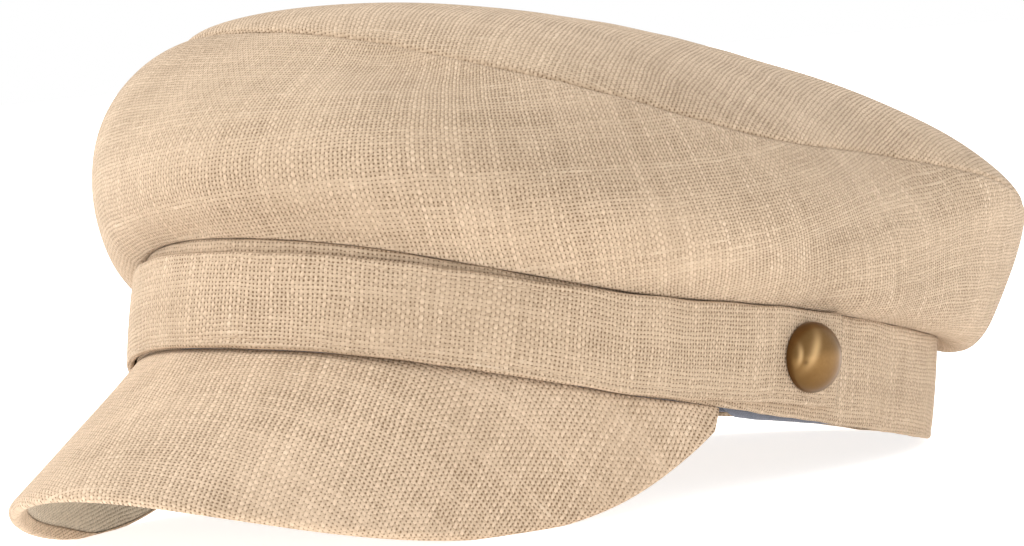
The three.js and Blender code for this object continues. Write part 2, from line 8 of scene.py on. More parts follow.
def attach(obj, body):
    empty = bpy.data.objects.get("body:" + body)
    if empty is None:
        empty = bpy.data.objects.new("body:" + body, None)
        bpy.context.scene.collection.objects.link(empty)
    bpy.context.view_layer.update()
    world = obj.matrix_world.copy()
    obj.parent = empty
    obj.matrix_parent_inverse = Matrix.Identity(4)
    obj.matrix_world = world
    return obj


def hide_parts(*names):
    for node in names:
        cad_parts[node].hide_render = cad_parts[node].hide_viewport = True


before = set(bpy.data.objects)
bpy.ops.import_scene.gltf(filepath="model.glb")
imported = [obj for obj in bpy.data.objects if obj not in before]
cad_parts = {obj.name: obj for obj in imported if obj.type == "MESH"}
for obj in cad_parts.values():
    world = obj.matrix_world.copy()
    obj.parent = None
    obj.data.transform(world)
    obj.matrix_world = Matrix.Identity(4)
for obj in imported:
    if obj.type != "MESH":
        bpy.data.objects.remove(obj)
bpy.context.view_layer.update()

# Sizes in millimetres. Turns and pitches are in degrees, and the rest are shares and powers
BAND_GIRTH = 592
BAND_HEIGHT = 25
BAND_WALL = 1.8
BAND_EGG = -0.0325
BAND_OVAL = 0.157
BAND_CORNER = 0.0084
HEM_ARCH = 6.3
HEM_DROOP = 6.1
DROOP_TURN = -55
DROOP_HALF_TURN = 30
HEM_LIFT = 2.6
LIFT_TURN = -165
LIFT_HALF_TURN = 20
STRAP_WIDTH = 21.3
STRAP_WALL = 1.8
STRAP_HALF_TURN = 100
SWEAT_HEIGHT = 27
SWEAT_WALL = 1.0
SWEAT_SHOW = 1.6
CROWN_HEIGHT = 80
CROWN_WALL = 1.6
TOP_RADIUS = 92
TOP_SETBACK = 27
SIDE_SWELL = 30
TOP_DOME = 27.5
TOP_DOME_SETBACK = 0.2
TOP_DOME_SIDE = -3.6
TOP_EDGE_REACH = 9.7
TOP_EDGE_PITCH = 58
TOP_CREST_REACH = 63.7
TOP_CREST_TILT = 0.8
TOP_CREST_DROP = 3.3
DENT_DEPTH = 5
PEAK_LENGTH = 50
PEAK_PITCH = 29.5
PEAK_SIDE_PITCH = 72.5
PEAK_HALF_TURN = 73.4
PEAK_SQUARENESS = 3.0
PEAK_FULLNESS = 0.855
PEAK_FORWARD = 1.185
PEAK_STAND = 3
PEAK_TWIST_TURN = 2.8
PEAK_DROP = 4
PEAK_ARCH = 0.3
PEAK_COVER_WALL = 1.6
PEAK_UNDER_WALL = 1.1
PEAK_RIM_WRAP = 3.7
PEAK_RIM_LIP = 0.2
PEAK_TRIM_TURN = 0.6
PEAK_UNDER_TRIM_TURN = 2.5
BUTTON_DIAMETER = 16.2
BUTTON_DOME = 6.4
BUTTON_EDGE = 0.9
BUTTON_TURN = 92
BUTTON_RISE = 0.2
SEAM_GAP = 0.3

# How the cap leans at rest: turns about X, Y and Z in degrees, and its shift
REST_TURN = (-10.94541128, 2.75786734, -0.16335316)
REST_SHIFT = (0.57793045, 6.74319458, 18.18130737)

BAND = np.array([
    # angle, hem, height, strap, sweat
    [0, 1.0, 0.97, 0.0, -0.6], [18, 0.98, 0.94, -0.004, -0.6], [36, 0.75, 0.88, -0.02, -0.6],
    [54, 0.37, 0.885, 0.0, -0.6], [66, 0.28, 0.905, 0.025, -0.6], [75, 0.22, 0.94, 0.075, -0.4],
    [79, 0.18, 0.955, 0.1, 0.9], [90, 0.11, 0.985, 0.145, 0.55], [110, 0.02, 0.99, 0.18, -0.2],
    [135, 0.0, 0.98, 0.2, -0.6], [180, 0.4, 0.98, 0.2, -0.6],
])
HEM, HEIGHT, STRAP, SWEAT = 1, 2, 3, 4
CROWN = np.array([
    # angle, reach, rise, foot, footSwell, head, headSwell
    [0, 1.213, 0.986, 38, 0.98, 41, 0.75],
    [30, 1.147, 0.886, 54, 0.89, 48, 0.62],
    [60, 0.979, 0.788, 41, 0.72, 52, 0.55],
    [90, 0.84, 0.797, 26, 0.593, 52, 0.452],
    [120, 1.013, 0.769, 3.4, 0.477, 65.5, 0.191],
    [150, 1.114, 0.666, -43, 0.7, 80, 0.1],
    [180, 1.147, 0.625, -35, 0.674, 80, 0.262],
    [210, 1.122, 0.614, -28, 0.658, 72, 0.32],
    [240, 0.984, 0.705, -9, 0.65, 58, 0.39],
    [270, 0.879, 0.808, 0, 0.601, 38, 0.75],
    [300, 0.934, 0.91, -18, 0.819, 33.2, 1.114],
    [330, 1.205, 0.981, 7.5, 0.573, 20, 0.963],
])
REACH, RISE, FOOT, FOOT_SWELL, HEAD, HEAD_SWELL = 1, 2, 3, 4, 5, 6
DENTS = np.array([
    # angle, turn, up, span, depth
    [12, 9, 0.9, 0.16, 1.0], [44, 16, 0.62, 0.24, 0.35], [118, 14, 0.5, 0.3, 0.5],
    [205, 16, 0.55, 0.3, 0.6], [290, 18, 0.6, 0.26, 0.5],
])
BAND = np.vstack([BAND, np.column_stack([360 - BAND[-2:0:-1, 0], BAND[-2:0:-1, 1:]])])


# Steps to either side from which a slope is read, round the band and up a panel
TURN_NUDGE = 0.5
SHARE_NUDGE = 0.02
RING_STEPS = 1440
# Below this share of the side's height the dents fade out
DENT_FADE = 0.2


# Form of the cap
def turn_from(degrees, middle):
    """Angles measured from another one, from -180 up to 180."""
    return np.mod(np.asarray(degrees, float) - middle + 180, 360) - 180


def along_band(degrees):
    """How far along the band a turn goes, in millimetres."""
    return degrees / 360 * BAND_GIRTH


def table_value(rows, column, degrees):
    """One column of a closed table at angles in degrees, along a smooth curve."""
    turn = np.mod(np.asarray(degrees, float), 360)
    count = len(rows)
    at = np.searchsorted(rows[:, 0], turn, side="right") - 1

    def row(step):
        lap = np.floor_divide(at + step, count)
        place = at + step - lap * count
        return rows[place, 0] + 360 * lap, rows[place, column]

    (a0, v0), (a1, v1), (a2, v2), (a3, v3) = row(-1), row(0), row(1), row(2)
    span = a2 - a1
    t = (turn - a1) / span
    low, high = (v2 - v0) / (a2 - a0), (v3 - v1) / (a3 - a1)
    return (v1 * (2 * t**3 - 3 * t**2 + 1) + low * span * (t**3 - 2 * t**2 + t)
            + v2 * (3 * t**2 - 2 * t**3) + high * span * (t**3 - t**2))


def oval_point(degrees):
    """The band's outline seen from above, with a mean radius of 1."""
    turn = np.radians(degrees)
    radius = 1 + BAND_EGG * np.cos(turn) + BAND_OVAL * np.cos(2 * turn)
    radius = radius + BAND_CORNER * np.cos(3 * turn)
    return np.stack([radius * np.sin(turn), -radius * np.cos(turn)], -1)


ring = oval_point(np.arange(RING_STEPS + 1) * (360 / RING_STEPS))
BAND_RADIUS = BAND_GIRTH / np.linalg.norm(np.diff(ring, axis=0), axis=1).sum()


def band_normal(degrees):
    degrees = np.asarray(degrees, float)
    along = oval_point(degrees + TURN_NUDGE) - oval_point(degrees - TURN_NUDGE)
    along /= np.linalg.norm(along, axis=-1, keepdims=True)
    return np.stack([along[..., 1], -along[..., 0], 0 * degrees], -1)


def band_point(degrees, outside, height):
    degrees, outside, height = np.broadcast_arrays(
        np.asarray(degrees, float), np.asarray(outside, float), np.asarray(height, float))
    flat = oval_point(degrees) * BAND_RADIUS
    point = np.stack([flat[..., 0], flat[..., 1], height], -1)
    return point + band_normal(degrees) * outside[..., None]


def nearness(degrees, middle, half_turn):
    """How near angles are to another, from 1 where they meet down to 0."""
    return np.exp(-((turn_from(degrees, middle) / half_turn) ** 2))


def hem_height(degrees):
    droop = HEM_DROOP * nearness(degrees, DROOP_TURN, DROOP_HALF_TURN)
    lift = HEM_LIFT * nearness(degrees, LIFT_TURN, LIFT_HALF_TURN)
    return HEM_ARCH * table_value(BAND, HEM, degrees) - droop + lift


def band_top(degrees):
    return hem_height(degrees) + BAND_HEIGHT * table_value(BAND, HEIGHT, degrees)


def strap_foot(degrees):
    return hem_height(degrees) + STRAP_WIDTH * table_value(BAND, STRAP, degrees)


def sweat_foot(degrees):
    return hem_height(degrees) - SWEAT_SHOW * table_value(BAND, SWEAT, degrees)


def dent_depth(degrees, share):
    depth = 0 * share
    for angle, turn, up, span, deep in DENTS:
        away = turn_from(degrees, angle) / turn
        depth = depth + DENT_DEPTH * deep * np.exp(-(away**2) - ((share - up) / span) ** 2)
    return depth


def seam_point(degrees):
    turn = np.radians(degrees)
    reach = TOP_RADIUS * table_value(CROWN, REACH, degrees)
    rise = CROWN_HEIGHT * table_value(CROWN, RISE, degrees)
    return np.stack([reach * np.sin(turn), TOP_SETBACK - reach * np.cos(turn), rise], -1)


def curve(lead, share):
    """Points on a cubic curve through four leading points."""
    share = share[..., None]
    rest = 1 - share
    weights = [rest**3, 3 * share * rest**2, 3 * share**2 * rest, share**3]
    return sum(place * weight for place, weight in zip(lead, weights))


def lead_in(outward, degrees, column, sign):
    turn = np.radians(table_value(CROWN, column, degrees))[..., None]
    up = np.array([0, 0, 1.0])
    return outward * np.cos(turn) + sign * up * np.sin(turn)


def side_point(degrees, share):
    degrees, share = np.broadcast_arrays(np.asarray(degrees, float), np.asarray(share, float))
    outward = band_normal(degrees)
    foot = band_point(degrees, 0, band_top(degrees) + SEAM_GAP)
    head = seam_point(degrees)
    foot_swell = SIDE_SWELL * table_value(CROWN, FOOT_SWELL, degrees)[..., None]
    head_swell = SIDE_SWELL * table_value(CROWN, HEAD_SWELL, degrees)[..., None]
    lead = [foot, foot + lead_in(outward, degrees, FOOT, 1) * foot_swell,
            head + lead_in(outward, degrees, HEAD, -1) * head_swell, head]
    fade = np.sin(np.pi * np.minimum(1, share / DENT_FADE) / 2)
    return curve(lead, share) - outward * (fade * dent_depth(degrees, share))[..., None]


FRONT, BACK = seam_point(np.array(0.0)), seam_point(np.array(180.0))
SEAM_SLOPE = (BACK[2] - FRONT[2]) / (BACK[1] - FRONT[1])
TOP_TIP = (FRONT + BACK) / 2 + np.array(
    [TOP_DOME_SIDE, TOP_DOME_SETBACK, TOP_DOME + SEAM_SLOPE * TOP_DOME_SETBACK])


def top_point(degrees, share):
    degrees, share = np.broadcast_arrays(np.asarray(degrees, float), np.asarray(share, float))
    edge = seam_point(degrees) - band_normal(degrees) * dent_depth(degrees, 1 + 0 * share)[..., None]
    inward = TOP_TIP - edge
    inward[..., 2] = 0
    inward /= np.linalg.norm(inward, axis=-1, keepdims=True)
    pitch = math.radians(TOP_EDGE_PITCH)
    edge_lead = inward * math.cos(pitch) + np.array([0, 0, math.sin(pitch)])
    crest = TOP_TIP - inward * TOP_CREST_REACH
    crest[..., 2] += TOP_CREST_TILT * SEAM_SLOPE * (crest[..., 1] - TOP_TIP[1]) - TOP_CREST_DROP
    return curve([edge, edge + edge_lead * TOP_EDGE_REACH, crest, TOP_TIP + 0 * edge], share)


def peak_reach(degrees):
    share = np.minimum(1, np.abs(degrees) / PEAK_HALF_TURN)
    return PEAK_LENGTH * (1 - share**PEAK_SQUARENESS) ** PEAK_FULLNESS


def peak_pitch(degrees):
    side = np.sin(np.radians(degrees)) ** 2
    return np.radians(PEAK_PITCH + (PEAK_SIDE_PITCH - PEAK_PITCH) * side)


def peak_forward(degrees):
    forward = band_normal(degrees) * (1 - PEAK_FORWARD)
    forward[..., 1] -= PEAK_FORWARD
    return forward / np.linalg.norm(forward, axis=-1, keepdims=True)


def rim_point(degrees):
    reach, pitch = peak_reach(degrees), peak_pitch(degrees)
    rim = band_point(degrees, PEAK_STAND, 0) + peak_forward(degrees) * (reach * np.cos(pitch))[..., None]
    rim[..., 2] -= reach * np.sin(pitch)
    a = -math.radians(PEAK_TWIST_TURN)
    turned = np.stack([rim[..., 0] * math.cos(a) + rim[..., 2] * math.sin(a), rim[..., 1],
                       rim[..., 2] * math.cos(a) - rim[..., 0] * math.sin(a) - PEAK_DROP], -1)
    t = np.clip(reach / (PEAK_LENGTH / 2), 0, 1)
    t = (t * t * (3 - 2 * t))[..., None]
    return rim * (1 - t) + turned * t


def peak_point(degrees, share):
    degrees, share = np.broadcast_arrays(np.asarray(degrees, float), np.asarray(share, float))
    hem = band_point(degrees, 0, hem_height(degrees) - SEAM_GAP)
    point = hem + (rim_point(degrees) - hem) * share[..., None]
    pitch = peak_pitch(degrees)
    arch = PEAK_ARCH * 4 * share * (1 - share) * peak_reach(degrees) / PEAK_LENGTH
    point = point + peak_forward(degrees) * (arch * np.sin(pitch))[..., None]
    point[..., 2] += arch * np.cos(pitch)
    return point


def face_normal(face, degrees, share):
    round_ = face(degrees + TURN_NUDGE, share) - face(degrees - TURN_NUDGE, share)
    across = face(degrees, np.minimum(1, share + SHARE_NUDGE))
    across = across - face(degrees, np.maximum(0, share - SHARE_NUDGE))
    normal = np.cross(round_, across)
    return normal / np.maximum(np.linalg.norm(normal, axis=-1, keepdims=True), 1e-9)


# Placing and building

# The lowest that cloth lies over the floor, in millimetres
FLOOR_GAP = 0.05
WAVES_PER_OCTAVE = 5
OCTAVE_WEIGHT = 0.55


def turned(points):
    """Points of the cap's own frame in its resting pose, in metres."""
    x, y, z = (math.radians(a) for a in REST_TURN)
    matrix = Matrix.Rotation(z, 3, "Z") @ Matrix.Rotation(y, 3, "Y") @ Matrix.Rotation(x, 3, "X")
    moved = points @ np.array(matrix).T + np.array(REST_SHIFT)
    moved[..., 2] = np.maximum(moved[..., 2], FLOOR_GAP)
    return moved / 1000


def make_object(name, points, faces, corner_uv, material):
    mesh = bpy.data.meshes.new(name)
    mesh.from_pydata(points.reshape(-1, 3).tolist(), [], faces)
    layer = mesh.uv_layers.new(name="cloth")
    layer.data.foreach_set("uv", np.asarray(corner_uv, np.float32).ravel())
    mesh.polygons.foreach_set("use_smooth", np.ones(len(mesh.polygons), bool))
    mesh.materials.append(material)
    mesh.update()
    obj = bpy.data.objects.new(name, mesh)
    bpy.context.scene.collection.objects.link(obj)
    return obj


def loft(name, loops, uv, round_, material):
    """A closed body from section loops (n, k, 3).

    uv is (n + 1, k + 1, 2) round a closed ring, or (n, k + 1, 2) for a body with ends.
    """
    n, k, _ = loops.shape
    count = n if round_ else n - 1
    i, j = np.meshgrid(np.arange(count), np.arange(k), indexing="ij")
    i, j = i.ravel(), j.ravel()
    ni, nj = (i + 1) % n, (j + 1) % k
    quads = np.stack([i * k + j, ni * k + j, ni * k + nj, i * k + nj], 1)
    corners = np.stack([uv[i, j], uv[i + 1, j], uv[i + 1, j + 1], uv[i, j + 1]], 1)
    a, b, c = loops[i, j], loops[ni, j], loops[ni, nj]
    volume = np.einsum("ij,ij->i", a, np.cross(b, c)).sum() + np.einsum(
        "ij,ij->i", a, np.cross(c, loops[i, nj])).sum()
    faces = quads.tolist()
    corner_uv = corners.reshape(-1, 2).tolist()
    if not round_:
        start = list(range(k))
        end = list(range((n - 1) * k, n * k))
        faces += [start, end[::-1]]
        corner_uv += uv[0, :k].tolist() + uv[-1, :k][::-1].tolist()
    if volume < 0:
        flipped, flipped_uv, at = [], [], 0
        for face in faces:
            size = len(face)
            flipped.append(face[::-1])
            flipped_uv += corner_uv[at:at + size][::-1]
            at += size
        faces, corner_uv = flipped, flipped_uv
    return make_object(name, turned(loops), faces, corner_uv, material)


def arc_lengths(points):
    steps = np.linalg.norm(np.diff(points, axis=-2), axis=-1)
    return np.concatenate([np.zeros(steps.shape[:-1] + (1,)), np.cumsum(steps, -1)], -1)


def wrapped(degrees):
    """Turns of a closed loop with the first one again at the end, a lap on."""
    return np.append(degrees, degrees[0] + 360)


def bumps(seed, degrees, height, wave_round, wave_up, octaves=3):
    """Gentle unevenness from a seeded sum of waves that close round the cap, about -1 to 1."""
    rng = np.random.default_rng(seed)
    total = 0 * degrees + 0 * height
    power = 0
    for octave in range(octaves):
        for _ in range(WAVES_PER_OCTAVE):
            turns = max(1, round(wave_round * 2**octave * rng.uniform(0.7, 1.3)))
            up = wave_up * 2**octave * rng.uniform(-1, 1)
            phase = rng.uniform(0, 2 * np.pi)
            weight = OCTAVE_WEIGHT**octave
            total = total + weight * np.cos(np.radians(degrees) * turns + up * height + phase)
            power += weight * weight / 2
    return total / math.sqrt(power) / 2


# Materials
class Nodes:
    """Short calls for building a material's nodes."""

    def __init__(self, name):
        self.material = bpy.data.materials.new(name)
        self.material.use_nodes = True
        self.tree = self.material.node_tree
        self.shader = self.tree.nodes["Principled BSDF"]

    def put(self, socket, value):
        if isinstance(value, bpy.types.NodeSocket):
            self.tree.links.new(value, socket)
        else:
            socket.default_value = value

    def math(self, operation, *values, clamp=False):
        node = self.tree.nodes.new("ShaderNodeMath")
        node.operation = operation
        node.use_clamp = clamp
        for socket, value in zip(node.inputs, values):
            self.put(socket, value)
        return node.outputs[0]

    def combine(self, x, y, z=0.0):
        node = self.tree.nodes.new("ShaderNodeCombineXYZ")
        for socket, value in zip(node.inputs, (x, y, z)):
            self.put(socket, value)
        return node.outputs[0]

    def noise(self, vector, scale, detail=1.0, roughness=0.5):
        node = self.tree.nodes.new("ShaderNodeTexNoise")
        self.put(node.inputs["Vector"], vector)
        self.put(node.inputs["Scale"], scale)
        self.put(node.inputs["Detail"], detail)
        self.put(node.inputs["Roughness"], roughness)
        return node.outputs["Fac"]

    def white(self, value):
        node = self.tree.nodes.new("ShaderNodeTexWhiteNoise")
        node.noise_dimensions = "1D"
        self.put(node.inputs["W"], value)
        return node.outputs["Value"]

    def remap(self, value, low, high, to_low, to_high):
        node = self.tree.nodes.new("ShaderNodeMapRange")
        for socket, number in zip(node.inputs, (value, low, high, to_low, to_high)):
            self.put(socket, number)
        return node.outputs["Result"]

    def mix(self, share, a, b):
        node = self.tree.nodes.new("ShaderNodeMix")
        node.data_type = "RGBA"
        self.put(node.inputs[0], share)
        self.put(node.inputs[6], a)
        self.put(node.inputs[7], b)
        return node.outputs[2]

    def cloth(self):
        """The two cloth coordinates."""
        node = self.tree.nodes.new("ShaderNodeUVMap")
        node.uv_map = "cloth"
        split = self.tree.nodes.new("ShaderNodeSeparateXYZ")
        self.tree.links.new(node.outputs[0], split.inputs[0])
        return split.outputs[0], split.outputs[1]

    def place(self):
        return self.tree.nodes.new("ShaderNodeTexCoord").outputs["Object"]

    def bump(self, height, distance, strength=1.0):
        node = self.tree.nodes.new("ShaderNodeBump")
        self.put(node.inputs["Height"], height)
        self.put(node.inputs["Distance"], distance)
        self.put(node.inputs["Strength"], strength)
        self.put(self.shader.inputs["Normal"], node.outputs[0])


# How much the two sets of yarns differ in tone
WARP_CONTRAST = 0.3
PALE_YARN = (0.86, 0.72, 0.55, 1)


def linen(name, light, dark, gap_shade_and_fleck, pitch_across=0.95, pitch_along=0.9, width=0.67, relief=0.0002):
    """Plain woven natural linen, with painted shade on the yarns' low flanks and in the gaps between them.
    Cloth coordinates are in millimetres.
    """
    n = Nodes(name)
    u, v = n.cloth()

    def field(scale, seed, detail=2.0, roughness=0.5):
        """Noise over the cloth, from 0 to 1."""
        spread = n.combine(n.math("MULTIPLY", u, scale), n.math("MULTIPLY", v, scale), seed)
        return n.noise(spread, 1.0, detail, roughness)

    def about(value, reach):
        """A noise value as a shift to either side."""
        return n.math("MULTIPLY", n.math("SUBTRACT", value, 0.5), reach)

    across = n.math("ADD", u, about(field(0.03, 0.0), 3.0))
    across = n.math("ADD", across, about(field(0.55, 3.1, 1.0), 0.5))
    along = n.math("ADD", v, about(field(0.03, 7.3), 3.0))
    along = n.math("ADD", along, about(field(0.55, 11.7, 1.0), 0.5))
    across = n.math("DIVIDE", across, pitch_across)
    along = n.math("DIVIDE", along, pitch_along)
    iu, iv = n.math("FLOOR", across), n.math("FLOOR", along)
    fu = n.math("SUBTRACT", n.math("SUBTRACT", across, iu), 0.5)
    fv = n.math("SUBTRACT", n.math("SUBTRACT", along, iv), 0.5)
    parity = n.math("MODULO", n.math("ABSOLUTE", n.math("ADD", iu, iv)), 2.0)
    over = n.math("MULTIPLY_ADD", parity, -2.0, 1.0)
    open_weave = n.remap(field(0.035, 33.0), 0.35, 0.65, 0.09, -0.05)

    def yarn(index, lengthwise, offset, seed):
        """Each yarn's own tone, its slubs, rounded height and cover, for one set of yarns."""
        own = n.white(n.math("ADD", index, seed))
        run = n.combine(n.math("MULTIPLY", index, 5.37), n.math("MULTIPLY", lengthwise, 0.13), seed)
        slub = n.noise(run, 1.0, 2.0, 0.6)
        nub = n.combine(n.math("MULTIPLY", index, 3.1), n.math("MULTIPLY", lengthwise, 0.8), seed)
        nub = n.noise(nub, 1.0, 1.0)
        thick = n.math("ADD", n.math("ADD", about(own, 0.14), about(slub, 0.45)), about(nub, 0.5))
        thick = n.math("ADD", n.math("ADD", thick, width), open_weave)
        ratio = n.math("DIVIDE", n.math("MULTIPLY", n.math("ABSOLUTE", offset), 2.0), thick)
        body = n.math("SUBTRACT", 1.0, n.math("MULTIPLY", ratio, ratio))
        body = n.math("SQRT", n.math("MAXIMUM", body, 0.0))
        cover = n.math("LESS_THAN", ratio, 1.0)
        return own, slub, body, cover

    own_u, slub_u, body_u, cover_u = yarn(iu, v, fu, 13.0)
    own_v, slub_v, body_v, cover_v = yarn(iv, u, fv, 577.0)
    rise_u = n.math("MULTIPLY", over, n.math("COSINE", n.math("MULTIPLY", fv, math.pi)))
    rise_v = n.math("MULTIPLY", over, n.math("COSINE", n.math("MULTIPLY", fu, math.pi)))
    high_u = n.math("MULTIPLY_ADD", rise_u, 0.5, n.math("MULTIPLY", body_u, 0.6))
    high_v = n.math("MULTIPLY_ADD", rise_v, -0.5, n.math("MULTIPLY", body_v, 0.6))
    high_u = n.math("SUBTRACT", n.math("MULTIPLY", n.math("ADD", high_u, 1.0), cover_u), 1.0)
    high_v = n.math("SUBTRACT", n.math("MULTIPLY", n.math("ADD", high_v, 1.0), cover_v), 1.0)
    height = n.math("MAXIMUM", n.math("MAXIMUM", high_u, high_v), -0.75)
    front = n.math("GREATER_THAN", high_u, high_v)
    back = n.math("SUBTRACT", 1.0, front)
    own = n.math("ADD", n.math("MULTIPLY", own_u, front), n.math("MULTIPLY", own_v, back))
    slub = n.math("ADD", n.math("MULTIPLY", slub_u, front), n.math("MULTIPLY", slub_v, back))

    tone = n.math("ADD", 0.5, about(own, 0.3))
    tone = n.math("ADD", tone, about(front, WARP_CONTRAST))
    tone = n.math("ADD", tone, about(slub, 0.6))
    tone = n.math("ADD", tone, about(field(1.1, 21.0, 3.0, 0.7), 1.3))
    tone = n.math("ADD", tone, about(field(0.03, 33.0), 0.7), clamp=True)
    colour = n.mix(tone, dark, light)
    pale = n.math("MULTIPLY", n.remap(own, 0.88, 0.97, 0.0, 0.22), n.remap(slub, 0.5, 0.7, 0.0, 1.0))
    colour = n.mix(pale, colour, PALE_YARN)
    # Flecks: random yarn patches darkened toward the same colour as the gap shade
    fleck = n.math("MULTIPLY", n.remap(field(0.8, 57.0, 2.0, 0.6), 0.66, 0.74, 0.0, 0.5),
                   n.remap(own, 0.4, 0.6, 0.3, 1.0))
    colour = n.mix(fleck, colour, gap_shade_and_fleck)
    # Painted shade: where the weave lies low, on the yarns' flanks and in the gaps, the colour darkens
    # toward the gap shade
    depth = n.remap(height, -0.7, 0.65, 0.0, 1.0)
    colour = n.mix(n.math("POWER", n.math("SUBTRACT", 1.0, depth), 2.4), colour, gap_shade_and_fleck)
    n.put(n.shader.inputs["Base Color"], colour)
    n.shader.inputs["Roughness"].default_value = 0.92
    n.shader.inputs["Specular IOR Level"].default_value = 0.25
    n.shader.inputs["Sheen Weight"].default_value = 0.12
    n.shader.inputs["Sheen Roughness"].default_value = 0.6
    n.shader.inputs["Sheen Tint"].default_value = (1.0, 0.93, 0.82, 1.0)
    n.bump(height, relief)
    return n.material


TAPE_DARK, TAPE_LIGHT = (0.115, 0.122, 0.15, 1), (0.26, 0.275, 0.33, 1)
TWILL_PITCH, TAPE_YARN_PITCH = 0.7, 0.4


def tape(name):
    """Blue-grey cotton twill."""
    n = Nodes(name)
    u, v = n.cloth()
    line = n.math("DIVIDE", n.math("ADD", u, v), TWILL_PITCH)
    ridge = n.math("SINE", n.math("MULTIPLY", line, 2 * math.pi))
    yarn = n.math("SINE", n.math("MULTIPLY", v, 2 * math.pi / TAPE_YARN_PITCH))
    height = n.math("MULTIPLY_ADD", yarn, 0.35, ridge)
    mottled = n.noise(n.combine(u, v, 2.0), 0.8, 3.0, 0.7)
    share = n.math("MULTIPLY_ADD", ridge, 0.15, mottled, clamp=True)
    n.put(n.shader.inputs["Base Color"], n.mix(share, TAPE_DARK, TAPE_LIGHT))
    n.shader.inputs["Roughness"].default_value = 0.9
    n.shader.inputs["Sheen Weight"].default_value = 0.1
    n.bump(height, 0.00008)
    return n.material


BRASS_DULL_AND_DARK_REFLECTION, BRASS_WARM = (0.14, 0.073, 0.022, 1), (0.31, 0.175, 0.067, 1)
BRASS_PAINTED_HIGHLIGHT, BRASS_SPOT = (0.66, 0.43, 0.20, 1), (0.09, 0.045, 0.015, 1)


def antique_brass(name):
    """Aged brass with two painted highlight streaks and painted dark reflection toward its rim. Cloth
    coordinates run over the button from -1 to 1.
    """
    n = Nodes(name)
    across, up = n.cloth()
    cloud = n.noise(n.place(), 300.0, 3.0, 0.6)
    grain = n.noise(n.place(), 1600.0, 2.0, 0.6)

    def streak(middle, height, slant, wide, high):
        """One long patch, 1 at its middle and fading outward."""
        rise = n.math("SUBTRACT", up, height)
        aside = n.math("SUBTRACT", n.math("SUBTRACT", across, middle), n.math("MULTIPLY", rise, slant))
        aside = n.math("POWER", n.math("ABSOLUTE", n.math("DIVIDE", aside, wide)), 2.0)
        rise = n.math("POWER", n.math("ABSOLUTE", n.math("DIVIDE", rise, high)), 2.0)
        return n.math("EXPONENT", n.math("MULTIPLY", n.math("ADD", aside, rise), -1.0))

    squares = n.math("ADD", n.math("MULTIPLY", across, across), n.math("MULTIPLY", up, up))
    from_middle = n.math("SQRT", squares)
    share = n.math("MULTIPLY_ADD", cloud, 0.5, n.math("MULTIPLY", grain, 0.25))
    # Painted reflection: toward the rim the brass fades to its dull tone, standing in for the darker
    # surroundings the dome would reflect there
    share = n.math("MULTIPLY", share, n.remap(from_middle, 0.5, 1.0, 1.0, 0.25), clamp=True)
    colour = n.mix(share, BRASS_DULL_AND_DARK_REFLECTION, BRASS_WARM)
    # Painted highlights: two bright streaks standing in for reflections of the lamps
    painted_highlight = n.math("MAXIMUM", streak(-0.5, 0.2, 0.3, 0.12, 0.42),
                    n.math("MULTIPLY", streak(-0.86, 0.02, 0.0, 0.045, 0.24), 0.9))
    colour = n.mix(n.math("MULTIPLY", painted_highlight, 0.85), colour, BRASS_PAINTED_HIGHLIGHT)
    spot = n.math("MULTIPLY", streak(-0.74, -0.2, 0.0, 0.06, 0.08), 0.7)
    colour = n.mix(spot, colour, BRASS_SPOT)
    n.put(n.shader.inputs["Base Color"], colour)
    n.shader.inputs["Metallic"].default_value = 0.9
    n.put(n.shader.inputs["Roughness"], n.remap(cloud, 0.3, 0.7, 0.28, 0.36))
    n.bump(grain, 0.00002, 0.6)
    return n.material


THREAD_DARK, THREAD_LIGHT = (0.44, 0.32, 0.21, 1), (0.66, 0.50, 0.35, 1)


def sewing_thread(name):
    """Twisted linen-coloured thread."""
    n = Nodes(name)
    place = n.place()
    twist = n.noise(place, 2600.0, 1.0)
    n.put(n.shader.inputs["Base Color"], n.mix(twist, THREAD_DARK, THREAD_LIGHT))
    n.shader.inputs["Roughness"].default_value = 0.8
    n.shader.inputs["Sheen Weight"].default_value = 0.1
    n.bump(twist, 0.00005)
    return n.material


thread = sewing_thread("sewing_thread")
# Tones of the yarns and of the painted shade in the gaps between them: light, dark, gap shade
CLOTH_TONES = (0.672, 0.507, 0.356, 1), (0.415, 0.299, 0.196, 1), (0.18, 0.108, 0.054, 1)
# The peak's tones are the crown's linen made lighter: painted light, for the peak facing up toward the lamp
PEAK_PAINTED_LIGHT_TONES = (0.75, 0.565, 0.40, 1), (0.465, 0.335, 0.222, 1), (0.21, 0.13, 0.068, 1)
# The underside's tones are its own greyer cloth, brightened as painted light on its shaded face under the
# peak
UNDER_TONES_WITH_PAINTED_LIGHT = (0.72, 0.61, 0.47, 1), (0.48, 0.40, 0.30, 1), (0.22, 0.17, 0.115, 1)
linen_cloth = linen("linen_cloth", *CLOTH_TONES)
linen_peak_painted_lit = linen("linen_peak_painted_lit", *PEAK_PAINTED_LIGHT_TONES)
linen_under_painted_lit = linen("linen_under_painted_lit", *UNDER_TONES_WITH_PAINTED_LIGHT)
cotton_tape = tape("cotton_tape")
brass = antique_brass("antique_brass")


# Crown
SIDE_COLUMNS, SIDE_ROWS, SIDE_INNER_ROWS = 440, 84, 26
TOP_COLUMNS, TOP_ROWS, TOP_INNER_ROWS = 400, 70, 24
# Where the inner faces begin, just inside the seam, as shares of each panel
SIDE_INNER_START, TOP_INNER_START = 0.97, 0.04
